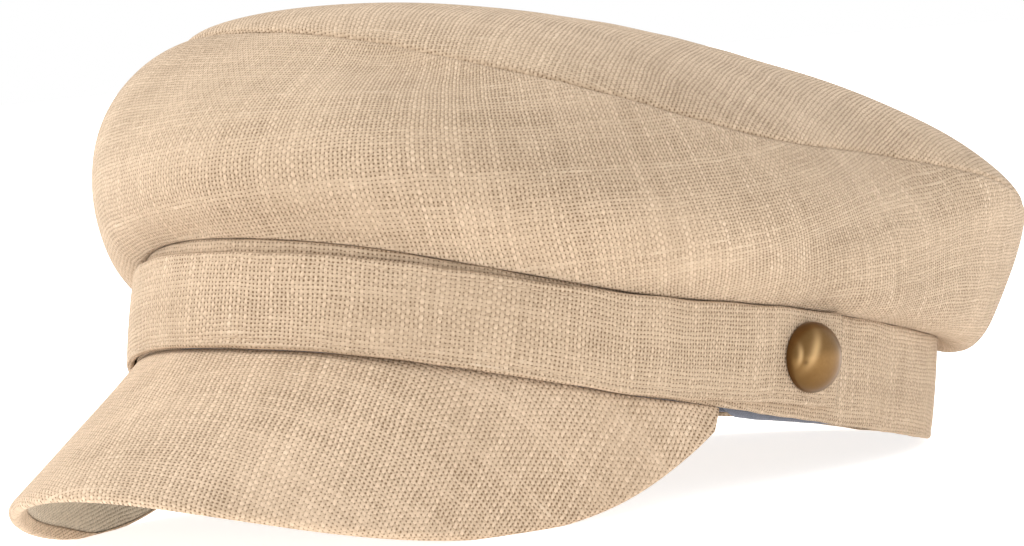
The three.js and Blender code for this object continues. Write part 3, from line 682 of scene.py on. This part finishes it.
# How far the panels' seam edges turn in
TUCK_DEPTHS = np.array([0.5, 1.2, 2.4, 4.0])
SIDE_WAVE, TOP_WAVE = 0.8, 0.6
PUCKER, PUCKER_REACH = 0.09, 4
GATHER, GATHER_REACH = 0.45, 9
SEAM_GROOVE, SEAM_GROOVE_REACH = 0.5, 0.6
BACK_SEAM_GROOVE, BACK_SEAM_REACH = 0.6, 0.8
# The side's foot stands out over the strap and lies back from the bare band
FOOT_STAND, FOOT_BACK, FOOT_REACH = 1.1, 0.5, 1.3
STRAP_FADE_TURN = 6
SIDE_GRAIN_STEPS = 3000


def smooth(value, low, high):
    """A soft step from 0 at low to 1 at high."""
    t = np.clip((value - low) / (high - low), 0, 1)
    return t * t * (3 - 2 * t)


def rows_between(fine_low, fine_high, count):
    """Shares from 0 to 1, closer together toward one or both ends."""
    t = np.linspace(0, 1, count)
    if fine_low and fine_high:
        return 0.5 * t + 0.5 * (t * t * (3 - 2 * t))
    return 0.4 * t + 0.6 * (t**2 if fine_low else 1 - (1 - t) ** 2)


SIDE_GRAIN_HEIGHT = 25
SIDE_GRAIN = np.array([
    # angle, slant
    [-180, 11], [-90, 0], [-35, -8], [10, 8], [45, 19], [85, 24], [130, 18], [180, 11],
])
TOP_GRAIN_TURN = -28
BACK_SEAM_TURN = 180


def side_slant(turn):
    """Slant of the side panel's weave at a polar angle, both in radians."""
    degrees = turn_from(np.degrees(turn), 0)
    return np.radians(np.interp(degrees, SIDE_GRAIN[:, 0], SIDE_GRAIN[:, 1]))


def seam_relief(seed, degrees, from_seam):
    """The pucker and the groove of a panel along the seam between side and top."""
    pucker = bumps(seed, degrees, from_seam / 9, 40, 0.5, 2) * PUCKER * np.exp(-from_seam / PUCKER_REACH)
    return pucker - SEAM_GROOVE * np.exp(-((from_seam / SEAM_GROOVE_REACH) ** 2))


def back_seam_relief(degrees, depth, reach):
    """The groove that a seam up the back presses into the cloth."""
    return -depth * np.exp(-((along_band(turn_from(degrees, BACK_SEAM_TURN)) / reach) ** 2))


def crown_side():
    turns = BACK_SEAM_TURN + np.arange(SIDE_COLUMNS) * (360 / SIDE_COLUMNS)
    share = rows_between(True, True, SIDE_ROWS)
    degrees, s = np.meshgrid(turns, share, indexing="ij")
    base = side_point(degrees, s)
    out = face_normal(side_point, degrees, s)
    height = arc_lengths(base)
    from_seam = height[:, -1:] - height
    wave = bumps(11, degrees, height / 30, 3, 1.6) * SIDE_WAVE
    wave = wave * smooth(height, 2, 25) * smooth(from_seam, 2, 22)
    gather = bumps(13, degrees, height / 14, 20, 0.4, 2) * GATHER
    gather = gather * np.exp(-height / GATHER_REACH) * smooth(height, 0, 2)
    relief = wave + gather + seam_relief(12, degrees, from_seam)
    relief = relief + back_seam_relief(degrees, BACK_SEAM_GROOVE, BACK_SEAM_REACH)
    front_turn = np.abs(turn_from(degrees, 0))
    strapped = 1 - smooth(front_turn, STRAP_HALF_TURN - STRAP_FADE_TURN, STRAP_HALF_TURN)
    foot = (FOOT_STAND * strapped - FOOT_BACK) * np.exp(-((height / FOOT_REACH) ** 2))
    outer = base + out * relief[..., None] + band_normal(degrees) * foot[..., None]
    edge, side_out = outer[:, -1], out[:, -1]
    top_out = face_normal(top_point, turns, 0 * turns)
    inward = -(side_out + top_out)
    inward /= np.linalg.norm(inward, axis=-1, keepdims=True)
    tuck = [edge + inward * depth for depth in TUCK_DEPTHS]
    inner_share = np.linspace(SIDE_INNER_START, 0.0, SIDE_INNER_ROWS)
    di, si = np.meshgrid(turns, inner_share, indexing="ij")
    inner = side_point(di, si) - face_normal(side_point, di, si) * CROWN_WALL
    inner[:, -1] = band_point(turns, -CROWN_WALL, band_top(turns) + SEAM_GAP)
    loops = np.concatenate([outer, np.stack(tuck, 1), inner], 1)
    closed = np.concatenate([loops, loops[:, :1]], 1)
    up = arc_lengths(closed)
    middle = side_point(wrapped(turns), 0.5 + 0 * wrapped(turns))
    middle_turn = np.unwrap(np.arctan2(middle[:, 0], -middle[:, 1]))
    middle_run = arc_lengths(middle)
    turn = np.arctan2(closed[..., 0], -closed[..., 1])
    turn = np.vstack([turn, turn[:1]])
    up = np.vstack([up, up[:1]])
    lap = np.radians(wrapped(turns))[:, None]
    turn = turn + 2 * np.pi * np.round((lap - turn) / (2 * np.pi))
    lap_run, lap_turn = middle_run[-1], 2 * np.pi
    long_turn = np.concatenate([middle_turn[:-1] - lap_turn, middle_turn[:-1], middle_turn + lap_turn])
    long_run = np.concatenate([middle_run[:-1] - lap_run, middle_run[:-1], middle_run + lap_run])
    grid = np.linspace(long_turn[0], long_turn[-1], SIDE_GRAIN_STEPS)
    steps = np.diff(np.interp(grid, long_turn, long_run))
    grid_slant = side_slant(grid[1:])
    across_run = np.concatenate([[0], np.cumsum(np.cos(grid_slant) * steps)])
    down_run = np.concatenate([[0], np.cumsum(np.sin(grid_slant) * steps)])
    slant = side_slant(turn)
    up = up - SIDE_GRAIN_HEIGHT
    uv = np.stack([np.interp(turn, grid, across_run) + up * np.sin(slant),
                   up * np.cos(slant) - np.interp(turn, grid, down_run)], -1)
    piece = loft("linen_crown_side", loops, uv, True, linen_cloth)
    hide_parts("crown_side")
    return piece


def crown_top():
    turns = np.arange(TOP_COLUMNS) * (360 / TOP_COLUMNS)
    share = rows_between(True, False, TOP_ROWS)[:-1]
    degrees, s = np.meshgrid(turns, share, indexing="ij")
    base = top_point(degrees, s)
    out = face_normal(top_point, degrees, s)
    run = arc_lengths(np.concatenate([base, np.broadcast_to(TOP_TIP, (len(turns), 1, 3))], 1))
    from_seam = run[:, :-1]
    wave = bumps(21, degrees, from_seam / 30, 3, 1.4) * TOP_WAVE
    wave = wave * smooth(from_seam, 2, 20) * (1 - s) ** 0.5
    outer = base + out * (wave + seam_relief(22, degrees, from_seam))[..., None]
    side_out = face_normal(side_point, turns, 0 * turns + 1)
    inward = -(side_out + out[:, 0])
    inward /= np.linalg.norm(inward, axis=-1, keepdims=True)
    tuck = np.stack([outer[:, 0] + inward * depth for depth in TUCK_DEPTHS[::-1]], 1)
    inner_share = np.linspace(TOP_INNER_START, 1, TOP_INNER_ROWS)[:-1]
    di, si = np.meshgrid(turns, inner_share, indexing="ij")
    inner = top_point(di, si) - face_normal(top_point, di, si) * CROWN_WALL
    sheet = np.concatenate([inner[:, ::-1], tuck, outer], 1)
    n, k, _ = sheet.shape
    whole = run[:, -1:]
    inner_reach = (1 - inner_share)[None] * whole
    tuck_reach = whole + TUCK_DEPTHS[None, ::-1]
    radius = np.concatenate([inner_reach[:, ::-1], tuck_reach, whole - from_seam], 1)
    angle = np.radians(degrees[:, :1] + TOP_GRAIN_TURN)
    uv = np.stack([radius * np.sin(angle), -radius * np.cos(angle)], -1)
    points = np.concatenate([sheet.reshape(-1, 3), [TOP_TIP - [0, 0, CROWN_WALL], TOP_TIP]])
    flat_uv = np.concatenate([uv.reshape(-1, 2), [[0, 0], [0, 0]]])
    faces = []
    for i in range(n):
        a, b = i * k, ((i + 1) % n) * k
        faces += [[a + j, b + j, b + j + 1, a + j + 1] for j in range(k - 1)]
        faces += [[a + k - 1, b + k - 1, n * k + 1], [b, a, n * k]]
    corner_uv = np.concatenate([flat_uv[face] for face in faces])
    piece = make_object("linen_crown_top", turned(points), faces, corner_uv, linen_cloth)
    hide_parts("crown_top")
    return piece


# Band, strap and sweatband
BAND_COLUMNS, STRAP_COLUMNS, SWEAT_COLUMNS = 640, 420, 360
BAND_SEED, BAND_SWELL = 31, 0.25
STRAP_SEED, STRAP_SWELL = 41, 0.3
SWEAT_SEED = 51
BAND_TOP_TUCK = 0.35
BAND_STITCH_ROW = 2.4
BAND_SEAM_GROOVE, BAND_SEAM_REACH = 0.55, 0.7
EDGE_WAVE = 0.12
# Beyond these turns the strap's top edge keeps close to the top of the band
STRAP_CLOSE_LOW, STRAP_CLOSE_HIGH = 38, 60
STRAP_STANDS_OVER = 0.1
STRAP_DOWN, STRAP_UP = -0.4, 1.4
STITCH_SINK, STITCH_SINK_REACH = 0.22, 0.55
STITCH_PITCH = 3.1
STITCH_LENGTH = 2.3
STITCH_WIDTH = 0.42
STITCH_TAPER, STITCH_FLATNESS = 0.6, 0.8
STITCH_LIFT = 0.02
STITCH_NUDGE = 0.3
STRAP_ROWS = (1.9, -1.9)
STRAP_END_TURN = 0.8
STITCH_RUN_STEPS = 2000


def slab_profile(low, high, wall, flat_steps):
    """Section of a strip of cloth with round edges: (height, depth) pairs, depth 0 outside."""
    r = wall / 2
    up = np.linspace(low + r, high - r, flat_steps)
    turn = np.linspace(0, np.pi, 7)[1:-1]
    outer = [(z, 0.0) for z in up]
    top = [(high - r + r * np.sin(a), r - r * np.cos(a)) for a in turn]
    inner = [(z, wall) for z in up[::-1]]
    foot = [(low + r - r * np.sin(a), r + r * np.cos(a)) for a in turn]
    return outer + top + inner + foot


def puff(seed, swell, degrees, rel):
    """How far a strip of cloth swells out, and its unevenness, in millimetres."""
    return swell * 4 * np.clip(rel * (1 - rel), 0, 1) + bumps(seed, degrees, rel * 1.5, 5, 1.0) * 0.25


def strip(name, turns, foot, top, outside, wall, swell, seed, material, round_, steps,
          stitch_rows=()):
    """A strip of cloth round the band. Rows of stitches are heights from its foot, or down from its top."""
    loops = np.array([slab_profile(low, high, wall, steps) for low, high in zip(foot, top)])
    heights, depth = loops[..., 0], loops[..., 1]
    tall = (top - foot)[:, None]
    rel = (heights - foot[:, None]) / tall
    degrees = np.broadcast_to(turns[:, None], rel.shape)
    swelled = puff(seed, swell, degrees, rel)
    for row in stitch_rows:
        away = rel * tall - (row if row > 0 else tall + row)
        swelled = swelled - STITCH_SINK * np.exp(-((away / STITCH_SINK_REACH) ** 2)) * (depth == 0)
    if round_:
        groove = back_seam_relief(degrees, BAND_SEAM_GROOVE, BAND_SEAM_REACH)
        swelled = swelled + groove * (depth < wall / 2)
    edge = bumps(seed + 1, degrees, 0 * rel, 26, 0.0, 2) * EDGE_WAVE
    points = band_point(degrees, outside - depth + swelled, heights + edge)
    closed = np.concatenate([points, points[:, :1]], 1)
    v = arc_lengths(closed)
    length = along_band(turns)
    if round_:
        length = along_band(wrapped(turns))
        v = np.vstack([v, v[:1]])
    uv = np.stack([np.broadcast_to(length[:, None], v.shape), v], -1)
    return loft(name, points, uv, round_, material)


def headband():
    turns = np.arange(BAND_COLUMNS) * (360 / BAND_COLUMNS)
    top = band_top(turns) + BAND_TOP_TUCK
    piece = strip("linen_headband", turns, hem_height(turns), top, 0.0, BAND_WALL, BAND_SWELL,
                  BAND_SEED, linen_cloth, True, 22, (BAND_STITCH_ROW,))
    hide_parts("headband")
    return piece


def strap():
    turns = np.linspace(-STRAP_HALF_TURN, STRAP_HALF_TURN, STRAP_COLUMNS)
    foot = strap_foot(turns)
    close = smooth(np.abs(turns), STRAP_CLOSE_LOW, STRAP_CLOSE_HIGH)
    top = foot + STRAP_WIDTH
    short = band_top(turns) + STRAP_STANDS_OVER - top
    top = top + close * np.clip(short, STRAP_DOWN, STRAP_UP)
    piece = strip("linen_strap", turns, foot, top, SEAM_GAP + STRAP_WALL, STRAP_WALL, STRAP_SWELL,
                  STRAP_SEED, linen_cloth, False, 46, STRAP_ROWS)
    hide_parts("strap")
    return piece


def sweatband():
    turns = np.arange(SWEAT_COLUMNS) * (360 / SWEAT_COLUMNS)
    top = band_top(turns) + SWEAT_HEIGHT - BAND_HEIGHT
    piece = strip("cotton_sweatband", turns, sweat_foot(turns), top, -BAND_WALL - SEAM_GAP, SWEAT_WALL,
                  0.0, SWEAT_SEED, cotton_tape, True, 10)
    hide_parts("sweatband")
    return piece


def stitches(name, centres, along, out):
    """Small thread stitches lying on the cloth, all in one piece."""
    side = np.cross(out, along)
    rings, sides = 5, 6
    turn = np.linspace(0, np.pi, rings)
    round_ = np.arange(sides) * 2 * np.pi / sides
    points, faces = [], []
    half, width = STITCH_LENGTH / 2, STITCH_WIDTH / 2
    for c, a, o, w in zip(centres, along, out, side):
        base = len(points)
        points.append(c - a * half)
        for t in turn[1:-1]:
            for r in round_:
                thick = width * math.sin(t) ** STITCH_TAPER
                spoke = w * math.cos(r) + o * math.sin(r) * STITCH_FLATNESS
                points.append(c - a * half * math.cos(t) + spoke * thick)
        points.append(c + a * half)
        last = base + 1 + (rings - 2) * sides
        for j in range(sides):
            nj = (j + 1) % sides
            faces.append([base, base + 1 + nj, base + 1 + j])
            for k in range(rings - 3):
                i, m = base + 1 + k * sides, base + 1 + (k + 1) * sides
                faces.append([i + j, i + nj, m + nj, m + j])
            i = last - sides
            faces.append([i + j, i + nj, last])
    uv = np.zeros((sum(len(f) for f in faces), 2))
    return make_object(name, turned(np.array(points)), faces, uv, thread)


def strap_stitches():
    end = STRAP_HALF_TURN - STRAP_END_TURN
    fine = np.linspace(-end, end, STITCH_RUN_STEPS)
    face = SEAM_GAP + STRAP_WALL
    run = arc_lengths(band_point(fine, face, 0))
    count = int(run[-1] / STITCH_PITCH)
    turns = np.interp((np.arange(count) + 0.5) * STITCH_PITCH, run, fine)
    centres, along = [], []
    for row in STRAP_ROWS:
        height = row if row > 0 else STRAP_WIDTH + row
        rel = height / STRAP_WIDTH

        def place(degrees):
            swelled = puff(STRAP_SEED, STRAP_SWELL, degrees, rel + 0 * degrees) - STITCH_SINK
            return band_point(degrees, face + swelled + STITCH_LIFT, strap_foot(degrees) + height)

        centres.append(place(turns))
        along.append(place(turns + STITCH_NUDGE) - place(turns - STITCH_NUDGE))
    centres, along = np.concatenate(centres), np.concatenate(along)
    along /= np.linalg.norm(along, axis=-1, keepdims=True)
    out = np.concatenate([band_normal(turns)] * len(STRAP_ROWS))
    return stitches("thread_strap_stitches", centres, along, out)


# Peak

# The arch that the peak's cloth is laid round: its radius and how high its crest stands
PEAK_CURVE = 68
PEAK_CREST = 42
PEAK_GRAIN_SLANT = 19
RIM_DEPTH = PEAK_COVER_WALL + SEAM_GAP + PEAK_UNDER_WALL + PEAK_RIM_LIP
# The wrap and the rim's rounding take up no more than these shares of the peak's reach
WRAP_SHARE, ROUND_SHARE = 0.45, 0.3
RIM_END_SHRINK = 0.75
RIM_SHRINK_LOW, RIM_SHRINK_HIGH = 38, 52
WRAP_STEP, UNDER_STEP = 0.1, 0.15
# Columns lie closer together toward the peak's ends, the more so the nearer this is to 1
END_CROWDING = 0.92
TOP_PEAK_COLUMNS, UNDER_PEAK_COLUMNS, UNDER_PEAK_ROWS = 260, 160, 24
CLOSING_TURN = 5
CLOSING_SPREAD, CLOSING_SLANT = 0.6, 1.4
CLOSING_FLATTENS = 0.6
PEAK_WAVE = 0.25
# Two rows by which the cover is sewn in under the hem: how far inside it and how far below
SEWN_ROWS = ((0.9, 0.06), (0.45, 0.1))
UNDER_CLOTH_SHIFT = 300


def peak_depth(degrees, share, depth):
    normal = face_normal(peak_point, degrees, share)
    return peak_point(degrees, share) + normal * np.asarray(depth)[..., None]


def peak_cloth(points):
    """Cloth coordinates of peak points: round the peak's arch and along its slope."""
    slope = math.radians(PEAK_PITCH)
    ahead = np.array([0, -math.cos(slope), -math.sin(slope)])
    up = np.array([0, -math.sin(slope), math.cos(slope)])
    across, rise, run = points[..., 0], points @ up, points @ ahead
    across = PEAK_CURVE * np.arctan2(across, rise + PEAK_CURVE - PEAK_CREST)
    slant = math.radians(PEAK_GRAIN_SLANT)
    return np.stack([across * math.cos(slant) - run * math.sin(slant),
                     run * math.cos(slant) + across * math.sin(slant)], -1)


def rim_wrap(turns):
    """Width of the cover's wrapped edge on the underside, narrower toward the ends."""
    shrink = RIM_END_SHRINK * smooth(np.abs(turns), RIM_SHRINK_LOW, RIM_SHRINK_HIGH)
    return PEAK_RIM_WRAP * (1 - shrink)


def peak_turns(end, count):
    """Turns from one end of the peak to the other, closer together toward both."""
    quarter = np.pi / 2 * END_CROWDING
    return end * np.sin(np.linspace(-1, 1, count) * quarter) / math.sin(quarter)


def peak_top():
    end = PEAK_HALF_TURN - PEAK_TRIM_TURN
    turns = peak_turns(end, TOP_PEAK_COLUMNS)
    reach = peak_reach(turns)
    wrap = np.minimum(WRAP_SHARE, rim_wrap(turns) / reach)
    step = 1 - wrap - WRAP_STEP / reach
    r = RIM_DEPTH / 2
    top_share = rows_between(False, True, 40)
    columns, depths = [], []
    round_share = np.minimum(ROUND_SHARE, r / reach)
    for t in top_share:
        columns.append(t * (1 - round_share))
        depths.append(0 * turns)
    for a in np.linspace(0, np.pi, 9)[1:-1]:
        columns.append(1 - round_share + round_share * math.sin(a))
        depths.append(0 * turns + r - r * math.cos(a))
    for t in (0.0, 0.35, 0.7, 1.0):
        columns.append((1 - round_share) * (1 - t) + (1 - wrap) * t)
        depths.append(0 * turns + RIM_DEPTH)
    for t in np.linspace(1, 0, 14):
        columns.append(step * t)
        depths.append(0 * turns + PEAK_COVER_WALL)
    share, depth = np.stack(columns, 1), np.stack(depths, 1)
    closing = smooth(np.abs(turns), end - CLOSING_TURN, end)[:, None]
    spread = closing * (CLOSING_SPREAD - CLOSING_SLANT * share)
    degrees = turns[:, None] + np.sign(turns)[:, None] * spread
    depth = depth * (1 - CLOSING_FLATTENS * closing)
    along = share * reach[:, None]
    wave = bumps(61, degrees, along / 25, 4, 1.5) * PEAK_WAVE * smooth(along, 0, 10)
    loops = peak_depth(degrees, share, depth - wave * (depth == 0))
    hem = hem_height(turns)
    sewn = [band_point(turns, -inside, hem - below) for inside, below in SEWN_ROWS]
    loops = np.concatenate([np.stack(sewn, 1), loops], 1)
    depth = np.concatenate([0 * depth[:, :2], depth], 1)
    cloth = peak_cloth(loops)
    cloth[..., 1] += np.minimum(depth, RIM_DEPTH)
    uv = np.concatenate([cloth, cloth[:, :1]], 1)
    piece = loft("linen_peak_top", loops, uv, False, linen_peak_painted_lit)
    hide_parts("peak_top")
    return piece


def peak_under():
    turns = peak_turns(PEAK_HALF_TURN - PEAK_TRIM_TURN - PEAK_UNDER_TRIM_TURN, UNDER_PEAK_COLUMNS)
    reach = peak_reach(turns)
    stop = 1 - np.minimum(WRAP_SHARE, rim_wrap(turns) / reach) - UNDER_STEP / reach
    upper = PEAK_COVER_WALL + SEAM_GAP
    out_and_back = np.linspace(0, 1, UNDER_PEAK_ROWS)
    out_and_back = np.concatenate([out_and_back, out_and_back[::-1]])
    share = stop[:, None] * out_and_back[None]
    depth = np.repeat([upper, upper + PEAK_UNDER_WALL], UNDER_PEAK_ROWS)[None] + 0 * share
    degrees = np.broadcast_to(turns[:, None], share.shape)
    loops = peak_depth(degrees, share, depth)
    cloth = peak_cloth(loops) + UNDER_CLOTH_SHIFT
    uv = np.concatenate([cloth, cloth[:, :1]], 1)
    piece = loft("linen_peak_under", loops, uv, False, linen_under_painted_lit)
    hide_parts("peak_under")
    return piece


# Buttons
BUTTON_STEPS, BUTTON_RINGS = 72, 26
# The button's foot: how far in from its rim, and how high
BUTTON_FOOT = ((0.7, 0.0), (0.25, 0.08), (0.04, 0.3), (0.0, 0.6))
BUTTON_FLAT_SHARE = 0.6
# Powers that make the dome a little flatter and fuller than a round one
DOME_ACROSS, DOME_RISE = 0.92, 1.05


def button(side, name, node):
    radius = BUTTON_DIAMETER / 2
    profile = [(0, 0), (radius * BUTTON_FLAT_SHARE, 0)]
    profile += [(radius - inset, height) for inset, height in BUTTON_FOOT]
    for a in np.linspace(0, np.pi / 2, BUTTON_RINGS):
        rise = (BUTTON_DOME - BUTTON_EDGE) * math.sin(a) ** DOME_RISE
        profile.append((radius * math.cos(a) ** DOME_ACROSS, BUTTON_EDGE + rise))
    profile = np.array(profile)
    steps = BUTTON_STEPS
    angle = np.arange(steps) * 2 * np.pi / steps
    turn = side * BUTTON_TURN
    out = band_normal(turn)
    middle = strap_foot(turn) + STRAP_WIDTH / 2 + BUTTON_RISE
    seat = band_point(turn, SEAM_GAP + STRAP_WALL + SEAM_GAP, middle)
    upright = np.array([0, 0, 1])
    level = np.cross(upright, out)
    points, faces = [seat], []
    for r, h in profile[1:-1]:
        points += [seat + out * h + (level * math.cos(a) + upright * math.sin(a)) * r for a in angle]
    points.append(seat + out * profile[-1][1])
    rings = len(profile) - 2
    for j in range(steps):
        nj = (j + 1) % steps
        faces.append([0, 1 + nj, 1 + j])
        for k in range(rings - 1):
            a, b = 1 + k * steps, 1 + (k + 1) * steps
            faces.append([a + j, a + nj, b + nj, b + j])
        last = 1 + (rings - 1) * steps
        faces.append([last + j, last + nj, len(points) - 1])
    points = np.array(points)
    rim = np.stack([np.cos(angle), np.sin(angle)], -1)
    rings_flat = [ring / radius * rim for ring in profile[1:-1, 0]]
    flat = np.concatenate([[[0, 0]], *rings_flat, [[0, 0]]])
    uv = np.concatenate([flat[face] for face in faces])
    piece = make_object(name, turned(points), faces, uv, brass)
    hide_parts(node)
    return piece


side_piece, top_piece, band_piece, strap_piece = crown_side(), crown_top(), headband(), strap()
sweat_piece, cover_piece, under_piece = sweatband(), peak_top(), peak_under()
thread_piece = strap_stitches()
left_button = button(1, "brass_button_left", "button_left")
right_button = button(-1, "brass_button_right", "button_right")
made = [side_piece, top_piece, band_piece, strap_piece, sweat_piece, cover_piece, under_piece, thread_piece,
        left_button, right_button]
for piece in made:
    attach(piece, "root")

# Floor, light and camera, in metres
FLOOR_HALF = 6
FLOOR_WHITE = 0.93
FLOOR_GLOW = 0.75
KEY_PLACE, KEY_AIM = Vector((-1.05, -0.85, 1.65)), Vector((0, 0, 0.06))
KEY_SIZE, KEY_POWER = 0.8, 26.0
CAMERA_PLACE = (0.790841, -0.891205, 0.115584)
CAMERA_TURN = (86.87961903, 5.17808455, 41.13629545)
CAMERA_LENS, CAMERA_SENSOR = 178.4, 36

floor_mesh = bpy.data.meshes.new("floor")
corners = [(x * FLOOR_HALF, y * FLOOR_HALF, 0) for x, y in ((-1, -1), (1, -1), (1, 1), (-1, 1))]
floor_mesh.from_pydata(corners, [], [(0, 1, 2, 3)])
floor = bpy.data.objects.new("floor", floor_mesh)
bpy.context.scene.collection.objects.link(floor)
floor_nodes = Nodes("pale_floor")
floor_nodes.shader.inputs["Base Color"].default_value = (FLOOR_WHITE, FLOOR_WHITE, FLOOR_WHITE, 1)
floor_nodes.shader.inputs["Roughness"].default_value = 0.9
floor_nodes.shader.inputs["Specular IOR Level"].default_value = 0.1
floor_nodes.shader.inputs["Emission Color"].default_value = (1, 1, 1, 1)
floor_nodes.shader.inputs["Emission Strength"].default_value = FLOOR_GLOW
floor_mesh.materials.append(floor_nodes.material)

world = bpy.data.worlds.new("studio")
bpy.context.scene.world = world
world.use_nodes = True
world.node_tree.nodes["Background"].inputs[0].default_value = (1.0, 1.0, 1.0, 1)
world.node_tree.nodes["Background"].inputs[1].default_value = 1.0

light = bpy.data.lights.new("key", "AREA")
light.shape = "RECTANGLE"
light.size, light.size_y = KEY_SIZE, KEY_SIZE
light.energy = KEY_POWER
light_object = bpy.data.objects.new("key", light)
light_object.location = KEY_PLACE
light_object.rotation_mode = "QUATERNION"
light_object.rotation_quaternion = (KEY_PLACE - KEY_AIM).to_track_quat("Z", "Y")
bpy.context.scene.collection.objects.link(light_object)

camera = bpy.data.cameras.new("camera")
camera.lens = CAMERA_LENS
camera.sensor_width = CAMERA_SENSOR
camera.clip_start, camera.clip_end = 0.05, 50
camera_object = bpy.data.objects.new("camera", camera)
camera_object.location = CAMERA_PLACE
camera_object.rotation_euler = [math.radians(a) for a in CAMERA_TURN]
bpy.context.scene.collection.objects.link(camera_object)
bpy.context.scene.camera = camera_object
bpy.context.scene.view_settings.view_transform = "Standard"
